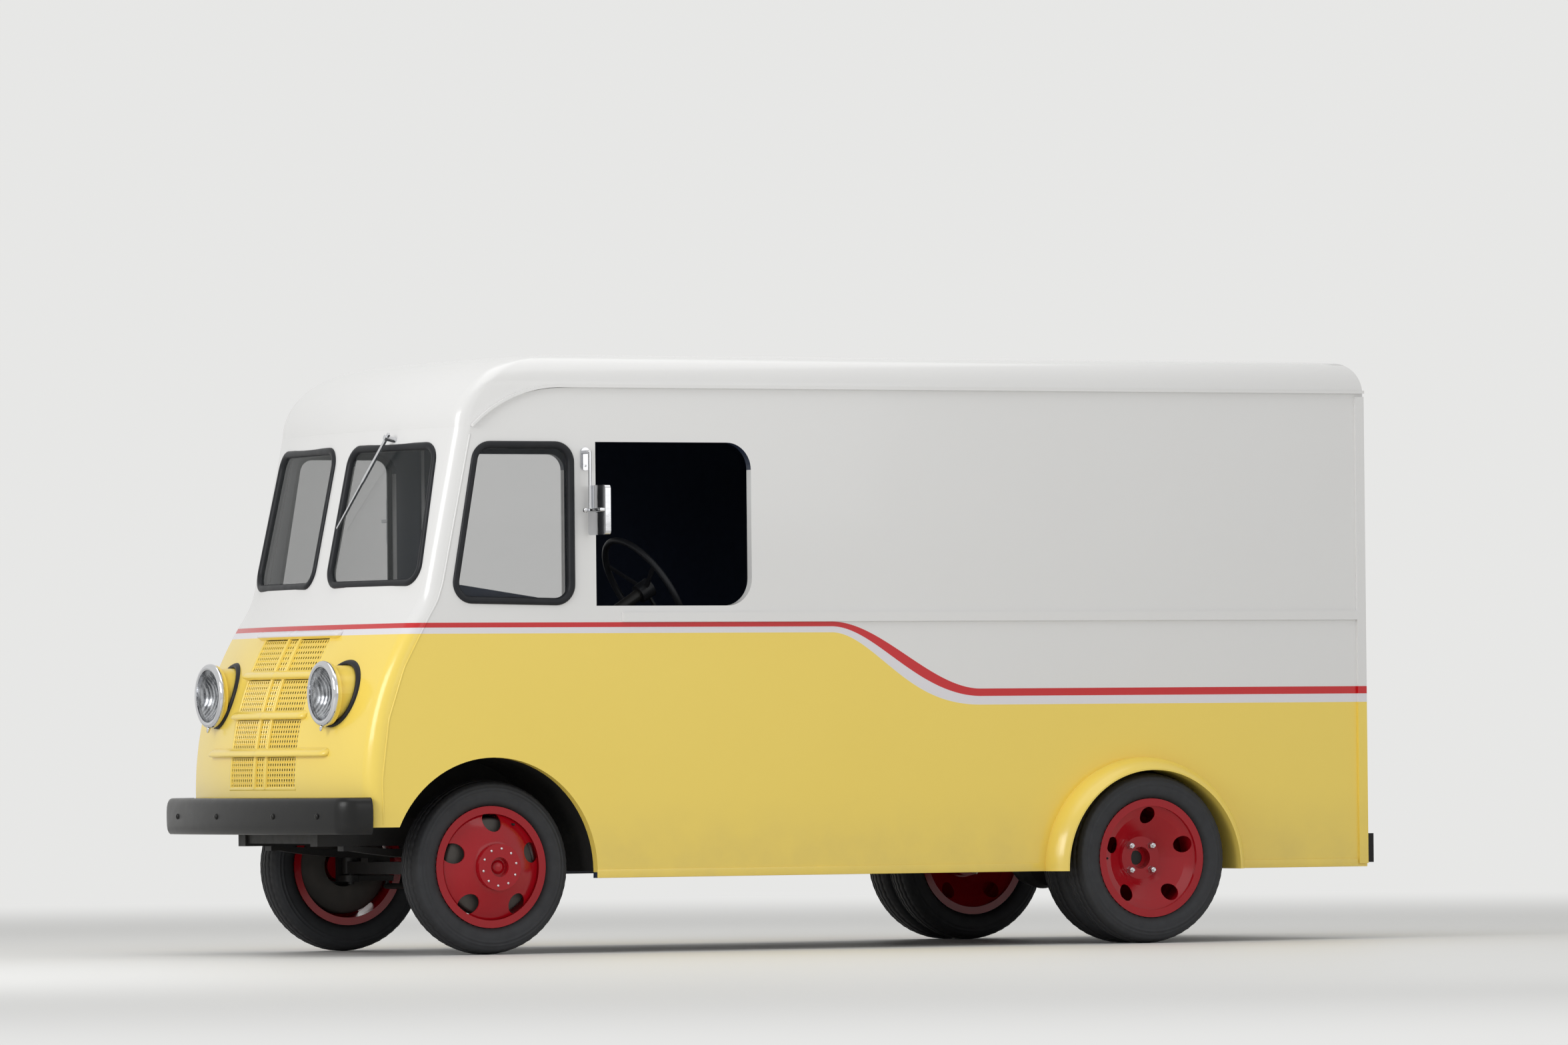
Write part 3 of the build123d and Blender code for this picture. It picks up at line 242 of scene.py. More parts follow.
# %% Body paint
LINE_FRONT, LINE_DROP, DROP_START, DROP_END = 1.212, 0.252, -0.13, 0.50
RED_WIDE, PALE_WIDE, WIDER_REAR, WIDER_SLOPE = 0.018, 0.022, 0.010, 0.020
WHITES = (0.775, 0.772, 0.768), (0.79, 0.788, 0.784)
YELLOWS = (0.92, 0.690, 0.122), (0.935, 0.708, 0.132)
REDS = (0.56, 0.006, 0.010), (0.62, 0.010, 0.016)
INSIDES = (0.016, 0.024, 0.050), (0.022, 0.032, 0.062)
PALE_LINE, DUST, DUST_TOP, DUST_LOW = (0.77, 0.75, 0.79), (0.42, 0.33, 0.16), 0.62, 0.28
MIDDLE_FRONT, MIDDLE_BACK, MIDDLE_Z = -1.2, 1.7, 1.15


def body_paint(name, lined):
    """Enamel in bands; a lined panel is blue on the inside."""
    f = Finish(name)
    fall = f.y.smooth(DROP_START, DROP_END)
    slope = fall * (1 - fall) * 4
    wider = fall * WIDER_REAR + slope * WIDER_SLOPE
    red_top = LINE_FRONT - fall * LINE_DROP
    red_low = red_top - (wider + RED_WIDE)
    pale_low = red_low - (wider + PALE_WIDE)
    clouds = f.noise(2.2, 4.0)
    coat = f.mix(f.z < pale_low, PALE_LINE, f.mix(clouds, *YELLOWS))
    coat = f.mix(f.z > red_low, coat, f.mix(clouds, *REDS))
    coat = f.mix(f.z > red_top, coat, f.mix(clouds, *WHITES))
    coat = f.mix(f.z.smooth(DUST_TOP, DUST_LOW) * f.noise(9.0, 6.0) * 0.30, coat, DUST)
    along = f.node("Clamp", {}, {0: f.y, 1: MIDDLE_FRONT, 2: MIDDLE_BACK})
    middle = f.node("CombineXYZ", {}, {1: along, 2: MIDDLE_Z})
    out = f.node("VectorMath", {"operation": "SUBTRACT"}, {0: f.place, 1: middle})
    facing = f.node("VectorMath", {"operation": "DOT_PRODUCT"},
                    {0: out, 1: f.node("TexCoord", out="Normal")}, 1)
    inside = (facing < 0.0) * lined
    return f.set(base_color=f.mix(inside, coat, f.mix(f.noise(30.0), *INSIDES)),
                 roughness=f.noise(2.0, 2.0) * 0.05 + inside * 0.2 + 0.22,
                 coat_weight=0.35, coat_roughness=0.08, normal=f.bump(f.noise(420.0, 1.0), 0.0004, 0.25))


paint, trim_paint = body_paint("body_enamel", 1.0), body_paint("trim_enamel", 0.0)
wear(("nose_panel", "windshield_panel", "side_lower_left", "side_lower_right", "side_upper_left",
      "side_upper_right", "rear_frame", "rear_door_left", "rear_door_right", "side_door"), paint)
wear(("rear_flares", "mouldings"), trim_paint)
print("painted the shell")

# %% [markdown]
# The plain finishes share one recipe: two close colours mixed by noise, a roughness that wanders a
# little, and a fine bump at the scale of the real grain. Each row of the first table is one finish,
# and the second table says which CAD pieces wear it.

# %% Plain finishes
FINISHES = {
    # name: colour, other colour, roughness, its wander, metallic, grain per metre, its depth, gloss
    "frame_enamel": ((0.012, 0.012, 0.013), (0.030, 0.029, 0.027), 0.45, 0.25, 0.0, 160.0, 0.0006, 0.3),
    "cast_iron": ((0.060, 0.058, 0.055), (0.11, 0.10, 0.09), 0.55, 0.25, 0.5, 220.0, 0.001, 0.4),
    "pipe_steel": ((0.22, 0.20, 0.18), (0.30, 0.20, 0.12), 0.40, 0.30, 0.8, 90.0, 0.0004, 0.5),
    "cab_blue": ((0.016, 0.024, 0.050), (0.024, 0.034, 0.066), 0.40, 0.20, 0.0, 300.0, 0.0004, 0.4),
    "under_black": ((0.008, 0.008, 0.008), (0.022, 0.021, 0.020), 0.65, 0.25, 0.0, 120.0, 0.001, 0.15),
    "seal_rubber": ((0.010, 0.011, 0.013), (0.024, 0.025, 0.029), 0.42, 0.20, 0.0, 240.0, 0.0004, 0.22),
    "bumper_satin": ((0.007, 0.007, 0.007), (0.012, 0.012, 0.012), 0.30, 0.12, 0.0, 260.0, 0.0003, 0.28),
    "bright_plate": ((0.72, 0.73, 0.75), (0.60, 0.60, 0.62), 0.07, 0.12, 1.0, 60.0, 0.0001, 0.5),
    "wheel_enamel": ((0.34, 0.002, 0.008), (0.38, 0.004, 0.011), 0.13, 0.07, 0.0, 320.0, 0.0003, 0.4),
    "seat_vinyl": ((0.050, 0.022, 0.012), (0.085, 0.040, 0.022), 0.42, 0.20, 0.0, 380.0, 0.0006, 0.35),
}
WEARS = {
    "frame_enamel": ("chassis_frame", "front_axle", "leaf_springs", "rear_axle", "propeller_shaft",
                     "knuckle_left", "knuckle_right", "tie_rod", "steering_column"),
    "cast_iron": ("engine_block",),
    "pipe_steel": ("exhaust",),
    "cab_blue": ("dash", "engine_cover"),
    "under_black": ("cab_floor", "load_floor", "wheel_housings"),
    "seal_rubber": ("steering_wheel",),
    "bumper_satin": ("rear_bumper",),
    "bright_plate": ("headlamp_rings", "mirrors", "wiper"),
    "wheel_enamel": ("rear_wheels_left", "rear_wheels_right"),
}
made = {}
for name, (colour, other, rough, wander, metal, grain, depth, gloss) in FINISHES.items():
    f = Finish(name)
    made[name] = f.set(
        base_color=f.mix(f.noise(14.0, 5.0), colour, other), metallic=metal, specular_ior_level=gloss,
        roughness=f.noise(22.0, 4.0) * wander + (rough - wander / 2),
        normal=f.bump(f.noise(grain, 2.0), depth, 0.5))
bright, rubber = made["bright_plate"], made["seal_rubber"]
for finish, names in WEARS.items():
    wear(names, made[finish])
print(len(FINISHES), "plain finishes")

# %% [markdown]
# Window glass is thin and clear, so it is drawn as a faint dark film that turns more solid at a
# glancing angle, where real glass mirrors its surroundings. Alpha does that without bending the
# light, which keeps the cab visible and the picture clean. The lamp glass is a film too, with fine
# upright bands that are more solid, and with painted highlights: bright patches in its colour stand
# for the glints of the lens.

# %% Glass
f = Finish("clear_glass")
edge = f.node("LayerWeight", {}, {"Blend": 0.35}, "Facing")
clear_glass = f.set(base_color=f.mix(f.noise(4.0), (0.020, 0.024, 0.024), (0.030, 0.034, 0.034)),
                    roughness=f.noise(18.0, 4.0) * 0.04 + 0.02, alpha=edge * 0.55 + 0.10)
wear(("window_glass", "rear_glass_left", "rear_glass_right", "side_door_glass"), clear_glass)

f = Finish("lamp_glass")
edge = f.node("LayerWeight", {}, {"Blend": 0.4}, "Facing")
bands = f.node("TexWave", {"bands_direction": "X"}, {"Vector": f.place, "Scale": 29.0, "Distortion": 0.0})
# painted highlights: bright noise patches in the lens colour stand for glints
painted_glints = f.noise(22.0, 3.0).smooth(0.35, 0.65)
lamp_glass = f.set(base_color=f.mix(painted_glints, (0.05, 0.055, 0.065), (0.55, 0.57, 0.60)),
                   roughness=f.noise(60.0) * 0.04 + 0.03, alpha=edge * 0.35 + bands * 0.22 + 0.08)
print("window glass and lamp glass")

# %% [markdown]
# New pieces are built from parts, each a list of points and a list of faces. `piece` joins them into
# one object, gives it a finish and lets it ride on a body of the van. `grid` makes the faces between
# rows of points, which is all that a swept shape needs. `turned` makes what a lathe would make: a half
# section of (along, radius) turned around an axis.


# %% Mesh helpers
def piece(name, parts, finish, body="van", smooth=True):
    """One object from parts, each some points and their faces, riding on a body."""
    points, faces = [], []
    for more, loops in parts:
        faces += [tuple(i + len(points) for i in loop) for loop in loops]
        points += [tuple(map(float, p)) for p in more]
    mesh = bpy.data.meshes.new(name)
    mesh.from_pydata(points, [], faces)
    mesh.validate()
    mesh.polygons.foreach_set("use_smooth", [smooth] * len(mesh.polygons))
    mesh.materials.append(finish)
    new = bpy.data.objects.new(name, mesh)
    scene.collection.objects.link(new)
    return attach(new, body)


def grid(rows, n, loop=False, ring=False, flip=False):
    """Faces between rows of n points; loop joins the last row to the first, ring closes each row."""
    faces = []
    for i in range(rows if loop else rows - 1):
        a, b = i * n, (i + 1) % rows * n
        for k in range(n if ring else n - 1):
            j = (k + 1) % n
            faces.append((a + k, a + j, b + j, b + k) if flip else (a + k, b + k, b + j, a + j))
    return faces


def turned(section, centre, axis, steps):
    """Points and faces of a half section turned around an axis through centre."""
    axis = Vector(axis).normalized()
    side = axis.orthogonal().normalized()
    other = axis.cross(side)
    points = []
    for i in range(steps):
        out = side * cos(2 * pi * i / steps) + other * sin(2 * pi * i / steps)
        points += [Vector(centre) + axis * along + out * radius for along, radius in section]
    return points, grid(steps, len(section), loop=True)


def listed(work):
    """Points and faces of a bmesh, which is then freed."""
    work.verts.index_update()
    lists = [v.co.copy() for v in work.verts], [tuple(v.index for v in face.verts) for face in work.faces]
    work.free()
    return lists


def settled(thing):
    """What an object's modifiers make, kept as its plain mesh."""
    solved = thing.evaluated_get(bpy.context.evaluated_depsgraph_get())
    mesh = bpy.data.meshes.new_from_object(solved)
    thing.modifiers.clear()
    thing.data = mesh
    return mesh


def rounded_bar(low, high, radius):
    """A bevelled block from corner to corner."""
    block = bmesh.new()
    bmesh.ops.create_cube(block, size=1.0)
    low, high = (Vector([pick(pair) for pair in zip(low, high)]) for pick in (min, max))
    for v in block.verts:
        v.co = low + (v.co + Vector((0.5, 0.5, 0.5))) * (high - low)
    bmesh.ops.bevel(block, geom=block.edges[:], offset=radius, segments=3, affect="EDGES", profile=0.5)
    return listed(block)


print("helpers for meshes")

# %% [markdown]
# The tyres have a rib tread: four grooves that run around the tyre in a zigzag. A normal map would
# not show at the shoulder, where the grooves break the outline, so they are cut in the mesh. Each
# row of points around the tyre follows a half section, and the points of a groove swing sideways
# with the angle. The sidewall has raised rings, as moulds leave them.

# %% Tyre shape
TYRE_R, AXLE_Z, FRONT_Y, REAR_Y = 0.320, 0.320, -1.497, 1.183
FRONT_X, REAR_IN, REAR_OUT = 0.604, 0.612, 0.777
ZIGZAGS, STEPS_EACH, WAVE = 60, 4, (0, 1, 0, -1)
BEAD = ((0.0475, 0.2055), (0.0475, 0.224))
SIDEWALL = ((0.060, 0.2275), (0.0655, 0.234), (0.0705, 0.244), (0.0735, 0.256), (0.0745, 0.266),
            (0.0742, 0.273), (0.0752, 0.2745), (0.075, 0.2775), (0.0735, 0.279), (0.0722, 0.286),
            (0.073, 0.2872), (0.0727, 0.2895), (0.0708, 0.291), (0.0685, 0.2985), (0.0655, 0.3035),
            (0.060, 0.3075))
SHOULDER, SHOULDER_DROP, NOTCH, TREAD_EDGE = 0.060, 0.0125, 0.0022, 0.052
GROOVES, GROOVE_W, GROOVE_D, SWING = (-0.036, -0.012, 0.012, 0.036), 0.0052, 0.006, 0.003


def crown(across):
    """Radius of the tread at a distance from its middle."""
    return TYRE_R - SHOULDER_DROP * (across / SHOULDER) ** 2


def tread_section():
    """(across, radius, swing) from one bead to the other."""
    half = [*BEAD, *SIDEWALL, (TREAD_EDGE, crown(TREAD_EDGE))]
    rows = [(-u, r, 0.0) for u, r in half]
    for g in GROOVES:
        rows += [(g - GROOVE_W / 2, crown(g), SWING), (g - GROOVE_W / 3, crown(g) - GROOVE_D, SWING),
                 (g + GROOVE_W / 3, crown(g) - GROOVE_D, SWING), (g + GROOVE_W / 2, crown(g), SWING)]
    return rows + [(u, r, 0.0) for u, r in reversed(half)]


def tyre(x, y):
    """Points and faces of one tyre around an axle at y."""
    section, steps = tread_section(), ZIGZAGS * STEPS_EACH
    points = []
    for i in range(steps):
        turn, wave = 2 * pi * i / steps, WAVE[i % STEPS_EACH]
        for u, r, swing in section:
            notched = abs(abs(u) - SHOULDER) < 0.001 and i % STEPS_EACH < 2
            reach = r - (NOTCH if notched else 0.0)
            points.append((x + u + swing * wave, y + reach * cos(turn), AXLE_Z + reach * sin(turn)))
    return points, grid(steps, len(section), loop=True, flip=True)


print(len(tread_section()), "points across a tyre and", ZIGZAGS * STEPS_EACH, "around")

# %% [markdown]
# Rubber is darkest on the tread and at the rim, and a little grey on the sidewall. The distance from
# the axle tells these zones apart. One sum serves both axles: the distance from the middle of the
# wheelbase, less half of the wheelbase.

# %% Tyres
f = Finish("tyre_rubber")
from_axle = f.y.math("ABSOLUTE", f.y - (REAR_Y + FRONT_Y) / 2) - (REAR_Y - FRONT_Y) / 2
reach = f.length(f.node("CombineXYZ", {}, {0: from_axle, 1: f.z - AXLE_Z}))
wall = f.mix(f.noise(26.0, 6.0), (0.027, 0.028, 0.031), (0.044, 0.046, 0.051))
wall = f.mix(reach.smooth(0.246, 0.226) * 0.75, wall, (0.012, 0.012, 0.013))
tyre_rubber = f.set(base_color=f.mix(reach.smooth(0.298, 0.312) * 0.8, wall, (0.022, 0.022, 0.024)),
                    roughness=f.noise(40.0, 4.0) * 0.2 + 0.5, specular_ior_level=0.25,
                    normal=f.bump(f.noise(900.0, 2.0), 0.0004, 0.5))
for name, body, xs, y in (
    ("front_tyre_left", "front_left_wheel", (FRONT_X,), FRONT_Y),
    ("front_tyre_right", "front_right_wheel", (-FRONT_X,), FRONT_Y),
    ("rear_tyres_left", "rear_left_wheels", (REAR_IN, REAR_OUT), REAR_Y),
    ("rear_tyres_right", "rear_right_wheels", (-REAR_IN, -REAR_OUT), REAR_Y),
):
    ring = piece(name + "_tread", [tyre(x, y) for x in xs], tyre_rubber, body)
    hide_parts(name)
print("6 tyres")

# %% [markdown]
# Wheel fittings are small but catch the light. The front hub covers have ten round-head screws, the
# rear hubs four cone nuts on studs, and each wheel has a valve. All are turned shapes; the nuts get
# six sides by using six steps.

# %% Wheel fittings
SCREW = ((0.0, 0.0044), (0.0012, 0.0044), (0.0022, 0.0034), (0.0028, 0.0018), (0.003, 0.0))
NUT = ((0.0, 0.0155), (0.004, 0.014), (0.006, 0.0128), (0.016, 0.0128), (0.019, 0.010), (0.019, 0.007),
       (0.027, 0.007), (0.028, 0.0055), (0.028, 0.0))
VALVE = ((0.0, 0.006), (0.016, 0.005), (0.017, 0.0042), (0.028, 0.0042), (0.030, 0.002), (0.030, 0.0))
SCREWS, NUTS = (10, 0.734, 0.068, 0.2), (4, 0.751, 0.0645, pi / 4)   # count, x, circle, first angle
FRONT_VALVE = (0.650, FRONT_Y + 0.150 * cos(0.95), AXLE_Z + 0.190 * sin(0.95))
REAR_VALVE = (0.800, REAR_Y - 0.186, AXLE_Z)
HANDS = (1, "left"), (-1, "right")


def around_axle(side, y, count, x, circle, first):
    """Places spread evenly around an axle."""
    turns = [2 * pi * k / count + first for k in range(count)]
    return [(side * x, y + circle * cos(turn), AXLE_Z + circle * sin(turn)) for turn in turns]


for side, hand in HANDS:
    out, front, rear = (side, 0, 0), f"front_{hand}_wheel", f"rear_{hand}_wheels"
    screws = [turned(SCREW, place, out, 16) for place in around_axle(side, FRONT_Y, *SCREWS)]
    piece(f"hub_screws_{front}", screws, bright, front)
    nuts = [turned(NUT, place, out, 6) for place in around_axle(side, REAR_Y, *NUTS)]
    piece(f"hub_nuts_{rear}", nuts, bright, rear, smooth=False)
    for body, (x, y, z) in ((front, FRONT_VALVE), (rear, REAR_VALVE)):
        piece(f"valve_{body}", [turned(VALVE, (side * x, y, z), out, 12)], rubber, body)
print("hub screws, nuts and valves")

# %% [markdown]
# The front discs have five round hand holes through their bulged faces. The CAD mesh is copied and
# welded, and a Boolean modifier takes five short cylinders out of the copy, which then becomes a plain
# mesh. A Boolean fits here because all these bodies are closed. Points of a cylinder that lie too far
# from the axle are pulled in, so each hole stops short of the rim. Behind the holes sits the iron brake
# drum, a turned shape.

# %% Hand holes
HOLES, HAND_R, HAND_STOP = (5, 0.640, 0.166, pi / 2), 0.0374, 0.1942
CUT_DEEP, SHARP = 0.080, radians(32)
CUT = ((0.0, 0.0), (0.0, HAND_R), (CUT_DEEP, HAND_R), (CUT_DEEP, 0.0))
BRAKE_X = 0.586
BRAKE = ((0.0, 0.078), (0.0, 0.172), (0.006, 0.180), (0.054, 0.180), (0.062, 0.172), (0.064, 0.120),
         (0.064, 0.060))


def hole_plugs(side):
    """Cylinders for the hand holes of one wheel, pulled in from the rim."""
    plugs = [turned(CUT, place, (side, 0, 0), 40) for place in around_axle(side, FRONT_Y, *HOLES)]
    for points, faces in plugs:
        for p in points:
            pull = min(1.0, HAND_STOP / sqrt((p.y - FRONT_Y) ** 2 + (p.z - AXLE_Z) ** 2))
            p.y, p.z = FRONT_Y + (p.y - FRONT_Y) * pull, AXLE_Z + (p.z - AXLE_Z) * pull
    return plugs


for side, hand in HANDS:
    name, body = f"front_wheel_{hand}", f"front_{hand}_wheel"
    disc = bmesh.new()
    disc.from_mesh(nodes[name].data)
    bmesh.ops.remove_doubles(disc, verts=disc.verts[:], dist=2e-5)
    wheel = piece(name + "_disc", [listed(disc)], made["wheel_enamel"], body, smooth=False)
    cutter = piece(name + "_drums", hole_plugs(side), made["wheel_enamel"], body)
    whole = bmesh.new()
    whole.from_mesh(cutter.data)
    bmesh.ops.remove_doubles(whole, verts=whole.verts[:], dist=1e-6)
    bmesh.ops.recalc_face_normals(whole, faces=whole.faces[:])
    whole.to_mesh(cutter.data)
    whole.free()
    cut = wheel.modifiers.new("hand_holes", "BOOLEAN")
    cut.object, cut.operation, cut.solver = cutter, "DIFFERENCE", "EXACT"
    holed = settled(wheel)
    bpy.data.objects.remove(cutter)
    holed.shade_smooth()
    holed.set_sharp_from_angle(angle=SHARP)
    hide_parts(name)
    brake = turned(BRAKE, (side * BRAKE_X, FRONT_Y, AXLE_Z), (side, 0, 0), 64)
    piece(name + "_drum", [brake], made["cast_iron"], body)
    print(name, len(holed.polygons), "faces with its hand holes")

# %% [markdown]
# The nose is a bowed panel, and several pieces follow it, so one function gives its front at any
# place: a smooth curve through the heights of the middle line, plus the bow across. The screens are
# sheet metal pressed in rows with a square hole in each cell. Each cell is a little frame of four
# faces around its hole and walls inside it, repeated by loops.

# %% Grille screens
NOSE = ((0.470, -2.113), (0.640, -2.116), (0.860, -2.088), (1.050, -2.024), (1.230, -1.925))
BOW_R = 3.5
BARS = ((0.345, 1.178), (0.310, 1.030), (0.310, 0.882), (0.500, 0.745))   # half width, height
BAR_H, SCREEN_LOW = 0.030, 0.600
STRIPS = ((-0.165, 12, 0.0186), (0.0, 4, 0.020), (0.165, 12, 0.0186))   # middle, holes across, pitch
ROWS, HOLE, LIP = 6, 0.0046, 0.0018
CORNERS = ((-1, -1), (1, -1), (1, 1), (-1, 1))
nose_curve = np.polyfit([z for z, y in NOSE], [y for z, y in NOSE], 4)


def nose_at(x, z, out=0.0):
    """Point on the front of the nose, pushed out along its normal."""
    y = np.polyval(nose_curve, z) + BOW_R - sqrt(BOW_R ** 2 - x * x)
    normal = Vector((x / BOW_R, -1.0, np.polyval(np.polyder(nose_curve), z))).normalized()
    return Vector((x, y, z)) + normal * out


def screen_cell(x, z, wide, high):
    """One cell: rings of corners from its edge to the lip of its hole and through the sheet."""
    rings = ((wide / 2, high / 2, -0.0065), (HOLE + LIP, HOLE + LIP, -0.003), (HOLE, HOLE, -0.0034),
             (HOLE, HOLE, -0.0058))
    points = [nose_at(x + sx * half_w, z + sz * half_h, out) for half_w, half_h, out in rings
              for sx, sz in CORNERS]
    return points, grid(len(rings), len(CORNERS), ring=True, flip=True)


cells = []
levels = [z for half, z in BARS] + [SCREEN_LOW]
for high, low in zip(levels, levels[1:]):
    pitch = (high - low - BAR_H) / ROWS
    for row in range(ROWS):
        z = low + BAR_H / 2 + pitch * (row + 0.5)
        for mid, count, wide in STRIPS:
            cells += [screen_cell(mid + (k - (count - 1) / 2) * wide, z, wide, pitch) for k in range(count)]
screens = piece("perforated_screens", cells, trim_paint, smooth=False)
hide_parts("grille_screens")
print(len(cells), "holes in the screens")

# %% [markdown]
# Upright ribs part the screens, and a flat edge frames them. Each is one section swept along the
# nose. A near-black face behind the holes stands for the radiator and for the shade behind the
# screens, painted shade so that the holes read dark and no light comes through them.

# %% Screen ribs
RIB = ((-0.008, -0.009), (-0.0075, 0.001), (-0.005, 0.004), (0.0, 0.005), (0.005, 0.004), (0.0075, 0.001),
       (0.008, -0.009))
EDGE = ((-0.009, -0.010), (-0.009, -0.002), (-0.004, 0.001), (0.004, 0.001), (0.009, -0.002), (0.009, -0.010))
RIB_X, EDGE_X, FRAME_X, RIB_LOW, RIB_HIGH, EDGE_HIGH = 0.047, 0.281, 0.285, 0.612, 1.180, 1.185
DARK_X, DARK_LOW, DARK_HIGH, DARK_IN = 0.30, 0.60, 1.19, -0.034


def strip(start, end, section, steps=24):
    """A section of (across, out) swept on the nose, along x if the ends are level and else along z."""
    points, flat = [], start[1] == end[1]
    for i in range(steps + 1):
        x, z = (a + (b - a) * (i / steps) for a, b in zip(start, end))
        points += [nose_at(x, z + across, out) if flat else nose_at(x + across, z, out)
                   for across, out in section]
    return points, grid(steps + 1, len(section), flip=True)


ribs = [strip((x, RIB_LOW), (x, RIB_HIGH), RIB) for x in (-RIB_X, RIB_X)]
ribs += [strip((x, RIB_LOW), (x, EDGE_HIGH), EDGE) for x in (-EDGE_X, EDGE_X)]
ribs.append(strip((-FRAME_X, RIB_LOW), (FRAME_X, RIB_LOW), EDGE))
piece("screen_ribs", ribs, trim_paint)
# painted shade: a near-black sheet behind the screen holes, standing for the radiator too
dark = strip((0, DARK_LOW), (0, DARK_HIGH), [(a, DARK_IN) for a in np.linspace(-DARK_X, DARK_X, 13)])
piece("radiator_and_painted_shade", [dark], made["under_black"])
print(len(ribs), "ribs and edges")

# %% [markdown]
# The four bars over the screens are pressed like eyebrows: thin at the top, where they lie on the
# nose, thick at the lower lip, with a soft fold in the middle and ends that run out in a curve. One
# section is swept across the nose and shrinks towards both ends.

# %% Grille bars
BROW = ((0.017, 0.0005), (0.012, 0.009), (0.002, 0.019), (-0.008, 0.0235), (-0.013, 0.0225), (-0.0155, 0.018),
        (-0.0155, 0.0))
BROW_STEPS, BROW_END, FOLD, FOLD_HALF = 72, 0.030, 0.0025, 0.012
SCREW_IN, SCREW_OUT = 0.035, 0.012
brows = []
for half, z in BARS:
    points = []
    for i in range(BROW_STEPS + 1):
        x = half * sin(pi / 2 * (2 * i / BROW_STEPS - 1))
        end = max(0.0, abs(x) - (half - BROW_END)) / BROW_END
        size = sqrt(max(0.0, 1 - end * end)) * 0.97 + 0.03
        fold = FOLD * max(0.0, 1 - abs(x) / FOLD_HALF)
        points += [nose_at(x, z + rise * (0.35 + 0.65 * size), out * size + (fold if out > 0.005 else 0.0))
                   for rise, out in BROW]
    brows.append((points, grid(BROW_STEPS + 1, len(BROW))))
bars = piece("eyebrow_bars", brows, trim_paint)
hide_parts("grille_bars")
screws = [turned(SCREW, nose_at(x, z, SCREW_OUT), (x / BOW_R, -1, -0.2), 12)
          for half, z in BARS for x in (-half + SCREW_IN, half - SCREW_IN)]
piece("bar_screws", screws, trim_paint)
print(len(brows), "eyebrow bars")

# %% [markdown]
# A sealed headlamp has a lens over a bright bowl. The bowl is the inside of the lamp bucket, found by
# its distance from the lamp's axis and finished bright, with painted reflections in its colour: the
# dark and light bands that a mirror would show, darker towards the top; the outside of the bucket is
# body colour.

# %% Lamp buckets
LAMP_X, LAMP_Y, LAMP_Z, BOWL_R, BOWL_DEEP = 0.488, -2.102, 0.958, 0.0985, 0.0835
BOWL_REFLECTION_DARK, BOWL_REFLECTION_BRIGHT = (0.035, 0.038, 0.045), (0.78, 0.80, 0.83)
BUCKET_YELLOWS = (0.91, 0.685, 0.12), (0.93, 0.705, 0.13)
f = Finish("lamp_bucket")
from_axis = f.length(f.node("CombineXYZ", {}, {0: f.x.math("ABSOLUTE", f.x) - LAMP_X, 1: f.z - LAMP_Z}))
bowl = (from_axis < BOWL_R) * (f.y < LAMP_Y + BOWL_DEEP)
flutes = f.node("TexWave", {"bands_direction": "X"},
                {"Vector": f.place, "Scale": 30.0, "Distortion": 1.5, "Detail": 1.0})
# painted reflection: flute bands and noise, darker towards the top, laid into the bowl's colour
painted_reflection_bands = flutes * 0.45 + f.noise(34.0, 3.0) * 0.9 - 0.30 - (f.z - LAMP_Z) * 3.0
painted_bowl_reflection = f.mix(painted_reflection_bands.smooth(0.1, 0.9), BOWL_REFLECTION_DARK, BOWL_REFLECTION_BRIGHT)
lamp_bucket = f.set(base_color=f.mix(bowl, f.mix(f.noise(9.0), *BUCKET_YELLOWS), painted_bowl_reflection),
                    metallic=bowl * 0.9, roughness=f.noise(30.0) * 0.05 + 0.22 - bowl * 0.06)
wear(("headlamp_shells",), lamp_bucket)
print("lamp buckets with bright bowls")

# %% [markdown]
# The lens is pressed with fine upright flutes, and with level ones near its top. They are real
# ripples in the mesh, so the light breaks up in them. The lens is made ring by ring from its middle,
# and the ripples fade out before the rim. A bulb, a rubber ring that follows the nose and a small
# clip under the rim complete each lamp.

# %% Headlamps
LENS_R, DOME_OUT, DOME_DEEP, LENS_RINGS, LENS_AROUND = 0.0975, 0.006, 0.014, 44, 120
FLUTE_DEEP, FLUTE_PITCH, FLUTE_FADE = 0.0009, 0.0105, 0.006
LEVEL_DEEP, LEVEL_PITCH, LEVEL_FROM = 0.0006, 0.010, 0.045
BULB = ((0.0, 0.018), (0.006, 0.017), (0.010, 0.012), (0.022, 0.010), (0.030, 0.006), (0.032, 0.0))
GASKET = ((-0.007, -0.004), (-0.007, 0.008), (0.0, 0.013), (0.008, 0.010), (0.011, 0.0), (0.011, -0.006))
GASKET_R, GASKET_STEPS, GASKET_OUT = 0.112, 64, Vector((0, -1, -0.2)).normalized()
CLIP = ((0.0, 0.007), (0.010, 0.007), (0.012, 0.005), (0.016, 0.005), (0.018, 0.0))
BULB_IN, CLIP_IN, CLIP_DOWN = 0.082, 0.008, 0.119


def fluted_lens(side):
    """Points and faces of one lens."""
    points = [Vector((side * LAMP_X, LAMP_Y - DOME_OUT, LAMP_Z))]
    for i in range(1, LENS_RINGS + 1):
        for k in range(LENS_AROUND):
            r, turn = LENS_R * i / LENS_RINGS, 2 * pi * k / LENS_AROUND
            dx, dz = r * cos(turn), r * sin(turn)
            flute = FLUTE_DEEP * abs(sin(pi * dx / FLUTE_PITCH))
            if dz >= LEVEL_FROM:
                flute = LEVEL_DEEP * abs(sin(pi * dz / LEVEL_PITCH))
            fade = min(1.0, (LENS_R - r) / FLUTE_FADE)
            y = LAMP_Y - DOME_OUT + DOME_DEEP * (r / LENS_R) ** 2 + flute * fade
            points.append(Vector((side * LAMP_X + dx, y, LAMP_Z + dz)))
    faces = [(0, 1 + (k + 1) % LENS_AROUND, 1 + k) for k in range(LENS_AROUND)]
    faces += [tuple(1 + v for v in face) for face in grid(LENS_RINGS, LENS_AROUND, ring=True, flip=True)]
    return points, faces


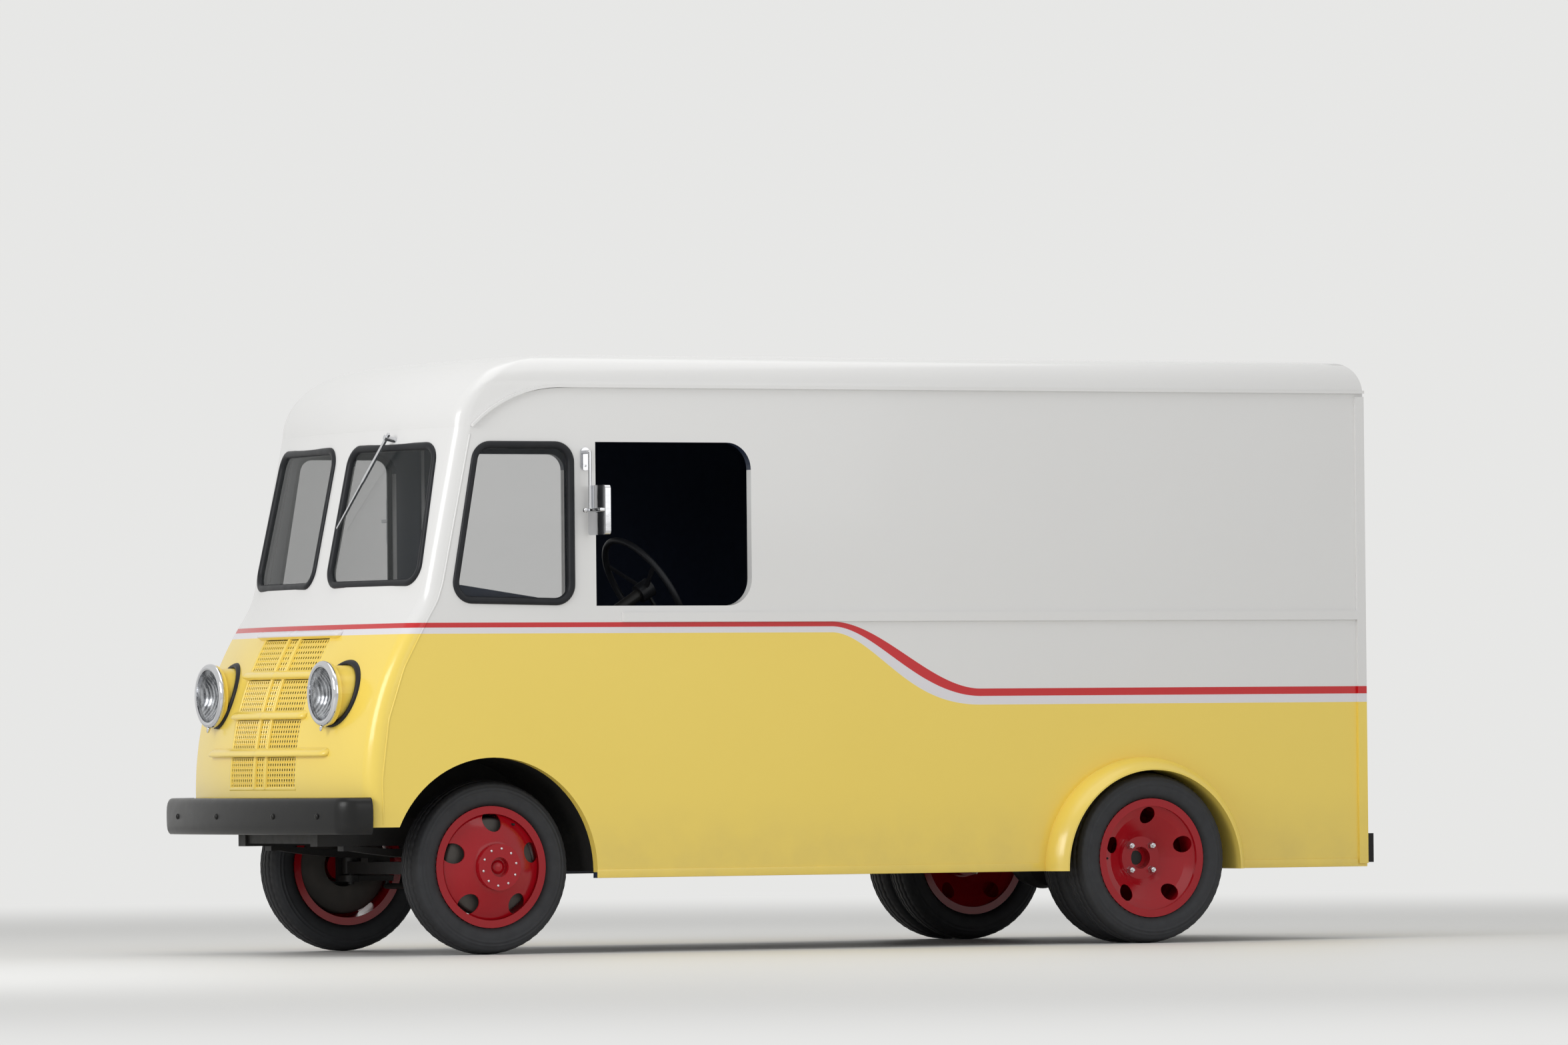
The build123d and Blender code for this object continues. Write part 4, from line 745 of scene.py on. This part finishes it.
def gasket(side):
    """Points and faces of one rubber ring on the nose."""
    points = []
    for k in range(GASKET_STEPS):
        turn = 2 * pi * k / GASKET_STEPS
        away = Vector((cos(turn), 0, sin(turn)))
        foot = nose_at(side * LAMP_X + GASKET_R * cos(turn), LAMP_Z + GASKET_R * sin(turn))
        points += [foot + away * out + GASKET_OUT * push for out, push in GASKET]
    return points, grid(GASKET_STEPS, len(GASKET), loop=True)


lenses = [fluted_lens(side) for side in (1, -1)]
lens_glass = piece("fluted_lenses", lenses, lamp_glass)
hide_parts("headlamp_lenses")
bulbs = [turned(BULB, (side * LAMP_X, LAMP_Y + BULB_IN, LAMP_Z), (0, -1, 0), 24) for side in (1, -1)]
piece("lamp_bulbs", bulbs, bright)
piece("lamp_gaskets", [gasket(side) for side in (1, -1)], rubber)
clips = [turned(CLIP, (side * LAMP_X, LAMP_Y + CLIP_IN, LAMP_Z - CLIP_DOWN), (0, -0.25, -1), 12)
         for side in (1, -1)]
piece("rim_clips", clips, bright)
print("fluted lenses, bulbs, gaskets and clips")

# %% [markdown]
# Rubber seals hold the fixed windows. In the CAD model they are plain rings; here each is a rounded
# bead swept around the window's outline, thick at the panel and thin at the glass. The outline is a
# polygon with round corners, and a function says where it lies in space: on the flat side or on the
# bowed windshield panel.

# %% Window seals
SIDE_X, WINDOW_R = 0.760, 0.075
PANE = ((0.055, 1.350), (0.698, 1.350), (0.656, 1.872), (0.055, 1.872))
QUARTER = ((-1.702, 1.285), (-1.195, 1.275), (-1.195, 1.872), (-1.598, 1.872))
SEAL = ((-0.003, -0.002), (-0.002, 0.004), (0.003, 0.0085), (0.010, 0.010), (0.017, 0.008), (0.022, 0.003),
        (0.0245, -0.004), (0.025, -0.012))
SHIELD_Y, SHIELD_Z, SHIELD_LEAN, SHIELD_HIGH = -1.866, 1.355, 0.121, 0.571


def round_outline(corners, radius, steps=10):
    """Closed outline with round corners, and the inward direction at each point."""
    points, n = [], len(corners)
    for i in range(n):
        before, at, after = (Vector(corners[(i + d) % n]) for d in (-1, 0, 1))
        u, v = (before - at).normalized(), (after - at).normalized()
        half = u.angle(v) / 2
        middle = at + (u + v).normalized() * (radius / sin(half))
        start, stop = at + u * radius / np.tan(half), at + v * radius / np.tan(half)
        a0, a1 = (atan2(p.y - middle.y, p.x - middle.x) for p in (start, stop))
        sweep = (a1 - a0 + pi) % (2 * pi) - pi
        for k in range(steps + 1):
            a = a0 + sweep * k / steps
            points.append((middle + Vector((cos(a), sin(a))) * radius, -Vector((cos(a), sin(a)))))
    return points


def shield_at(x, z, out):
    """Point on the windshield panel."""
    y = SHIELD_Y + (z - SHIELD_Z) * SHIELD_LEAN / SHIELD_HIGH + BOW_R - sqrt(BOW_R ** 2 - x * x)
    return Vector((x, y, z)) + Vector((x / BOW_R, -0.978, 0.207)).normalized() * out


seals = []
for side in (1, -1):
    for corners, place in (([(side * x, z) for x, z in PANE], shield_at),
                           (QUARTER, lambda y, z, out, s=side: Vector((s * (SIDE_X + out), y, z)))):
        ring = round_outline(corners, WINDOW_R)
        points = [place(*(p + inward * across), out) for p, inward in ring for across, out in SEAL]
        seals.append((points, grid(len(ring), len(SEAL), loop=True)))
beads = piece("rubber_seals", seals, rubber)
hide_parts("window_seals")
print(len(seals), "window seals")

# %% [markdown]
# The front bumper is a pressed channel with rounded edges that turns back around both corners. A
# bevel on the CAD mesh would follow its few facets and look ragged, so one section is swept along the
# bumper's plan: a straight end, a corner arc and half of the bowed front, then the same mirrored.

# %% Front bumper
CHANNEL = ((-0.015, 0.447), (-0.0145, 0.4455), (-0.012, 0.4462), (-0.007, 0.452), (-0.0028, 0.462),
           (-0.0008, 0.476), (0.0, 0.495), (0.0002, 0.512), (0.0, 0.530), (-0.001, 0.547),
           (-0.004, 0.562), (-0.010, 0.574), (-0.019, 0.5795), (-0.030, 0.580), (-0.032, 0.578),
           (-0.030, 0.5755), (-0.020, 0.5745), (-0.015, 0.565), (-0.015, 0.447))
HALF, CORNER, BOW, FRONT, BUMPER_END = 0.785, 0.085, 3.525, -2.235, -2.032
ARM_X, ARM_HALF, ARM_LOW, ARM_HIGH = 0.310, 0.025, (-2.206, 0.448), (-2.046, 0.468)
corner_x = HALF - CORNER
corner_y = FRONT + BOW - sqrt((BOW - CORNER) ** 2 - corner_x ** 2)
tip = atan2(FRONT + BOW - corner_y, corner_x)
plan = [((HALF, y), (1.0, 0.0)) for y in np.linspace(BUMPER_END, corner_y, 6)]
plan += [((corner_x + CORNER * cos(a), corner_y - CORNER * sin(a)), (cos(a), -sin(a)))
         for a in np.linspace(0, tip, 16)[1:]]
plan += [((BOW * cos(a), FRONT + BOW - BOW * sin(a)), (cos(a), -sin(a)))
         for a in np.linspace(tip, pi / 2, 24)[1:]]
plan += [((-x, y), (-nx, ny)) for (x, y), (nx, ny) in reversed(plan[:-1])]
points = [(x + nx * out, y + ny * out, z) for (x, y), (nx, ny) in plan for out, z in CHANNEL]
n = len(CHANNEL)
faces = grid(len(plan), n, flip=True)
faces += [tuple(range(n - 1)), tuple(reversed(range(len(points) - n, len(points) - 1)))]
brackets = [rounded_bar((x - ARM_HALF, *ARM_LOW), (x + ARM_HALF, *ARM_HIGH), 0.003)
            for x in (-ARM_X, ARM_X)]
bar = piece("bumper_channel", [(points, faces), *brackets], made["bumper_satin"])
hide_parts("front_bumper")
print("bumper of", len(plan), "sections")

# %% [markdown]
# Small fittings finish the shell: round bolt heads on the bumper, a folded hem along the sill and a
# handle on the back door. They are thin trim, so they sit on the panels.

# %% Body fittings
BOLT = ((0.0, 0.011), (0.003, 0.0105), (0.006, 0.007), (0.0075, 0.003), (0.008, 0.0))
BOLT_XS, BOLT_Z, BOLT_BOW, BOLT_LIFT = (-0.56, -0.13, 0.33, 0.62), 0.512, 7.0, 0.0005
HEM_IN, HEM_OUT, HEM_LOW, HEM_HIGH = 0.759, 0.763, 0.2755, 0.306
HEM_RUNS = (-1.112, 0.775), (1.590, 2.130)
KNOB = ((0.0, 0.024), (0.004, 0.023), (0.006, 0.012), (0.030, 0.010), (0.034, 0.008), (0.035, 0.0))
bolts = [turned(BOLT, (x, FRONT + x * x / BOLT_BOW - BOLT_LIFT, BOLT_Z), (0, -1, 0), 20) for x in BOLT_XS]
piece("bumper_bolts", bolts, made["bumper_satin"])
hems = [rounded_bar((side * HEM_IN, y0, HEM_LOW), (side * HEM_OUT, y1, HEM_HIGH), 0.0016)
        for side in (1, -1) for y0, y1 in HEM_RUNS]
piece("sill_hems", hems, trim_paint)
handle = [turned(KNOB, (0.06, 2.163, 1.10), (0, 1, 0), 24),
          rounded_bar((0.050, 2.190, 1.035), (0.070, 2.204, 1.165), 0.005)]
piece("back_handle", handle, bright, "back_door_left")
print(len(bolts), "bolts,", len(hems), "hems and a handle")

# %% [markdown]
# The roof is one pressed shell: a brow that turns from the windshield into the top along a quarter
# ellipse, and shoulders that turn in from the drip rails. The CAD roof has few steps, which shows as
# bands in a glossy paint. Here the same rules make many rows, each a closed plan outline, and the
# rows below the curved drip rail are lifted up to it.

# %% Roof shell
GUTTER, BROW_Z, BROW_RISE, BROW_RUN, CROWN = 2.072, 1.926, 0.264, 0.401, 0.015
BROW_Y, ROOF_BACK, SHOULDER_IN, TAIL_IN = -1.745, 2.170, 0.100, 0.070
TOP_Y, TOP_X, TOP_BACK = -1.344, 0.660, 2.100   # edge of the nearly flat top
FLAT_FRONT, FLAT_SIDE, FLAT_BACK = 0.260, 0.280, 0.200   # and how far it reaches in
DRIP_END, DRIP_RUN = -1.610, 0.360


def plan_row(y_front, half, y_back, corner=0.060):
    """Closed plan outline with a bowed front, from the left rear corner round to the right."""
    side = half - corner
    mid_y = y_front + BOW_R - sqrt((BOW_R - corner) ** 2 - side ** 2)
    turn = atan2(y_front + BOW_R - mid_y, side)
    row = [(half, y) for y in np.linspace(y_back, mid_y, 40)]
    row += [(side + corner * cos(a), mid_y - corner * sin(a)) for a in np.linspace(0, turn, 10)[1:]]
    row += [(BOW_R * cos(a), y_front + BOW_R - BOW_R * sin(a)) for a in np.linspace(turn, pi / 2, 16)[1:]]
    return row + [(-x, y) for x, y in reversed(row[:-1])]


def drip_height(y):
    """Lower edge of the roof over the side: a curve up from the pillar, then level."""
    rise = GUTTER - BROW_Z
    radius = (DRIP_RUN ** 2 + rise ** 2) / (2 * rise)
    t = min(max(DRIP_END + DRIP_RUN - y, 0.0), DRIP_RUN)
    return GUTTER - radius + sqrt(radius ** 2 - t * t)


rows, top = [], BROW_Z + BROW_RISE
for turn in np.linspace(0, pi / 2, 40):
    z = BROW_Z + BROW_RISE * sin(turn)
    ease = 1 - sqrt(max(0.0, 1 - max(0.0, (z - GUTTER) / (top - GUTTER)) ** 2))
    outline = plan_row(BROW_Y + BROW_RUN * (1 - cos(turn)), SIDE_X - SHOULDER_IN * ease,
                       ROOF_BACK - TAIL_IN * ease)
    rows.append([(x, y, max(z, drip_height(y)) if y > DRIP_END else z) for x, y in outline])
for t in np.linspace(0, 1, 8)[1:]:
    outline = plan_row(TOP_Y + FLAT_FRONT * t, TOP_X - FLAT_SIDE * t, TOP_BACK - FLAT_BACK * t)
    rows.append([(x, y, top + CROWN * sin(pi / 2 * t)) for x, y in outline])
n = len(rows[0])
points = [p for row in rows for p in row]
faces = grid(len(rows), n, ring=True)
faces.append(tuple(reversed(range(len(points) - n, len(points)))))
outward = [tuple(reversed(face)) for face in faces]
roof_shell = piece("roof_shell", [(points, outward)], paint)
roof_shell.data.set_sharp_from_angle(angle=radians(40))
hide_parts("roof")
print("roof shell of", len(rows), "rows")

# %% [markdown]
# The driver's seat is a brown vinyl cushion and back on a painted pedestal. A stuffed pad bulges
# where the filling pushes and is held where it is sewn. Blender's cloth solver makes that bulge: a
# slightly small block is remeshed to small even faces, blown up with a little pressure and no
# gravity, and each point's move is capped so that the pad stays in its place. Four sewn lines are
# then pressed into it. The result is kept as a plain mesh, so no solver is left on the piece.

# %% Driver's seat
VOXEL, BLOCK_R, FRAMES, PRESSURE = 0.007, 0.022, 20, 4.0
SEWN_DEEP, SEWN_WIDE, SEWN_SPREAD = 0.006, 0.05, 1.3


def blown_up(block, start, cap):
    """Points of a block after some pressure, each moved by cap at most."""
    cloth = block.modifiers.new("cloth", "CLOTH")
    cloth.settings.use_pressure, cloth.settings.uniform_pressure_force = True, PRESSURE
    cloth.settings.effector_weights.gravity = 0.0
    cloth.settings.quality, cloth.settings.mass = 4, 0.3
    cloth.point_cache.frame_end = FRAMES
    for step in range(1, FRAMES + 1):
        scene.frame_set(step)
    blown = block.evaluated_get(bpy.context.evaluated_depsgraph_get()).data
    move = np.array([v.co for v in blown.vertices]) - start
    block.modifiers.clear()
    scene.frame_set(1)
    far = np.linalg.norm(move, axis=1, keepdims=True)
    return start + move * np.minimum(1.0, cap / np.maximum(far, 1e-9))


def pad(name, low, high, cap):
    """A stuffed pad that fills the box from low to high."""
    inset = Vector((cap, cap, cap)) * 0.8
    block = rounded_bar(Vector(low) + inset, Vector(high) - inset, BLOCK_R)
    block = piece(name, [block], made["seat_vinyl"])
    remesh = block.modifiers.new("remesh", "REMESH")
    remesh.mode, remesh.voxel_size = "VOXEL", VOXEL
    even = settled(block)
    start = np.array([v.co for v in even.vertices])
    start = blown_up(block, start, cap)
    middle = (np.array(low) + np.array(high)) / 2
    half = (np.array(high) - np.array(low)) / 2
    thin = int(np.argmin(half))
    long = [k for k in range(3) if k != thin][1]
    for line in np.linspace(-0.5, 0.5, 4):
        near = (start[:, 0] - middle[0]) / half[0] - line * SEWN_SPREAD
        dip = SEWN_DEEP * np.exp(-(near / SEWN_WIDE) ** 2)
        edge = np.clip(1.15 - np.abs((start[:, long] - middle[long]) / half[long]) ** 4, 0, 1)
        start[:, thin] -= np.sign(start[:, thin] - middle[thin]) * dip * edge
    start = np.clip(start, np.array(low), np.array(high))
    even.vertices.foreach_set("co", start.ravel())
    even.polygons.foreach_set("use_smooth", [True] * len(even.polygons))
    even.materials.clear()
    even.materials.append(made["seat_vinyl"])
    return block


cushion = pad("seat_cushion", (0.290, -0.640, 0.782), (0.650, -0.232, 0.880), 0.012)
backrest = pad("seat_back", (0.290, -0.230, 0.800), (0.650, -0.160, 1.430), 0.010)
pedestal = [rounded_bar((0.330, -0.600, 0.5405), (0.610, -0.260, 0.560), 0.004),
            rounded_bar((0.345, -0.585, 0.560), (0.595, -0.275, 0.760), 0.012),
            rounded_bar((0.310, -0.620, 0.760), (0.630, -0.165, 0.781), 0.006)]
piece("seat_pedestal", pedestal, made["frame_enamel"])
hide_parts("driver_seat")
print("seat with", len(cushion.data.polygons) + len(backrest.data.polygons), "faces in its pads")

# %% [markdown]
# The last small things are the seams where the front shell meets the sides, and the clamps and
# screws of the mirrors. A seam is a slim rounded bead: a small section carried along places that
# follow the line of the front, a little behind it.

# %% Seams and mirror clamps
FRONT_LINE = ((0.475, -2.113), (0.640, -2.116), (0.860, -2.088), (1.050, -2.024), (1.230, -1.925),
              (1.290, -1.888), (1.355, -1.866), (1.905, -1.7495))
SEAM_LOW, SEAM_HIGH, SEAM_BEHIND = 0.48, 1.90, 0.135
SEAM = ((-0.0035, -0.001), (-0.0035, 0.0009), (-0.00175, 0.0018), (0.00175, 0.0018), (0.0035, 0.0009),
        (0.0035, -0.001))
CLAMP_XS, CLAMP_LOW, CLAMP_HIGH = (0.776, 0.920), (-1.1665, 1.614), (-1.1435, 1.628)
BOSS, BOSS_X, BOSS_AT = ((0.0, 0.009), (0.010, 0.009), (0.012, 0.006), (0.012, 0.0)), 0.805, (-1.166, 1.621)
STUD_X, STUD_Y, STUD_ZS = 0.7695, -1.150, (1.785, 1.835)


def seam(side):
    """Points and faces of one seam."""
    places = [Vector((side * SIDE_X, y, z)) for y, z in zip(line_y, heights)]
    out, points = Vector((side, 0, 0)), []
    for i, p in enumerate(places):
        along = (places[min(i + 1, len(places) - 1)] - places[max(i - 1, 0)]).normalized()
        points += [p + along.cross(out) * across + out * lift for across, lift in SEAM]
    return points, grid(len(places), len(SEAM), flip=True)


heights = np.linspace(SEAM_LOW, SEAM_HIGH, 60)
line_y = np.interp(heights, [z for z, y in FRONT_LINE], [y for z, y in FRONT_LINE]) + SEAM_BEHIND
seams = [seam(side) for side in (1, -1)]
piece("shell_seams", seams, trim_paint)
clamps, screws = [], []
for side in (1, -1):
    x0, x1 = (side * x for x in CLAMP_XS)
    clamps.append(rounded_bar((x0, *CLAMP_LOW), (x1, *CLAMP_HIGH), 0.004))
    clamps.append(turned(BOSS, (side * BOSS_X, *BOSS_AT), (0, -1, 0), 6))
    screws += [turned(SCREW, (side * STUD_X, STUD_Y, z), (side, 0, 0), 12)
               for z in STUD_ZS]
piece("mirror_clamps", clamps + screws, bright)
print("seams and clamps")
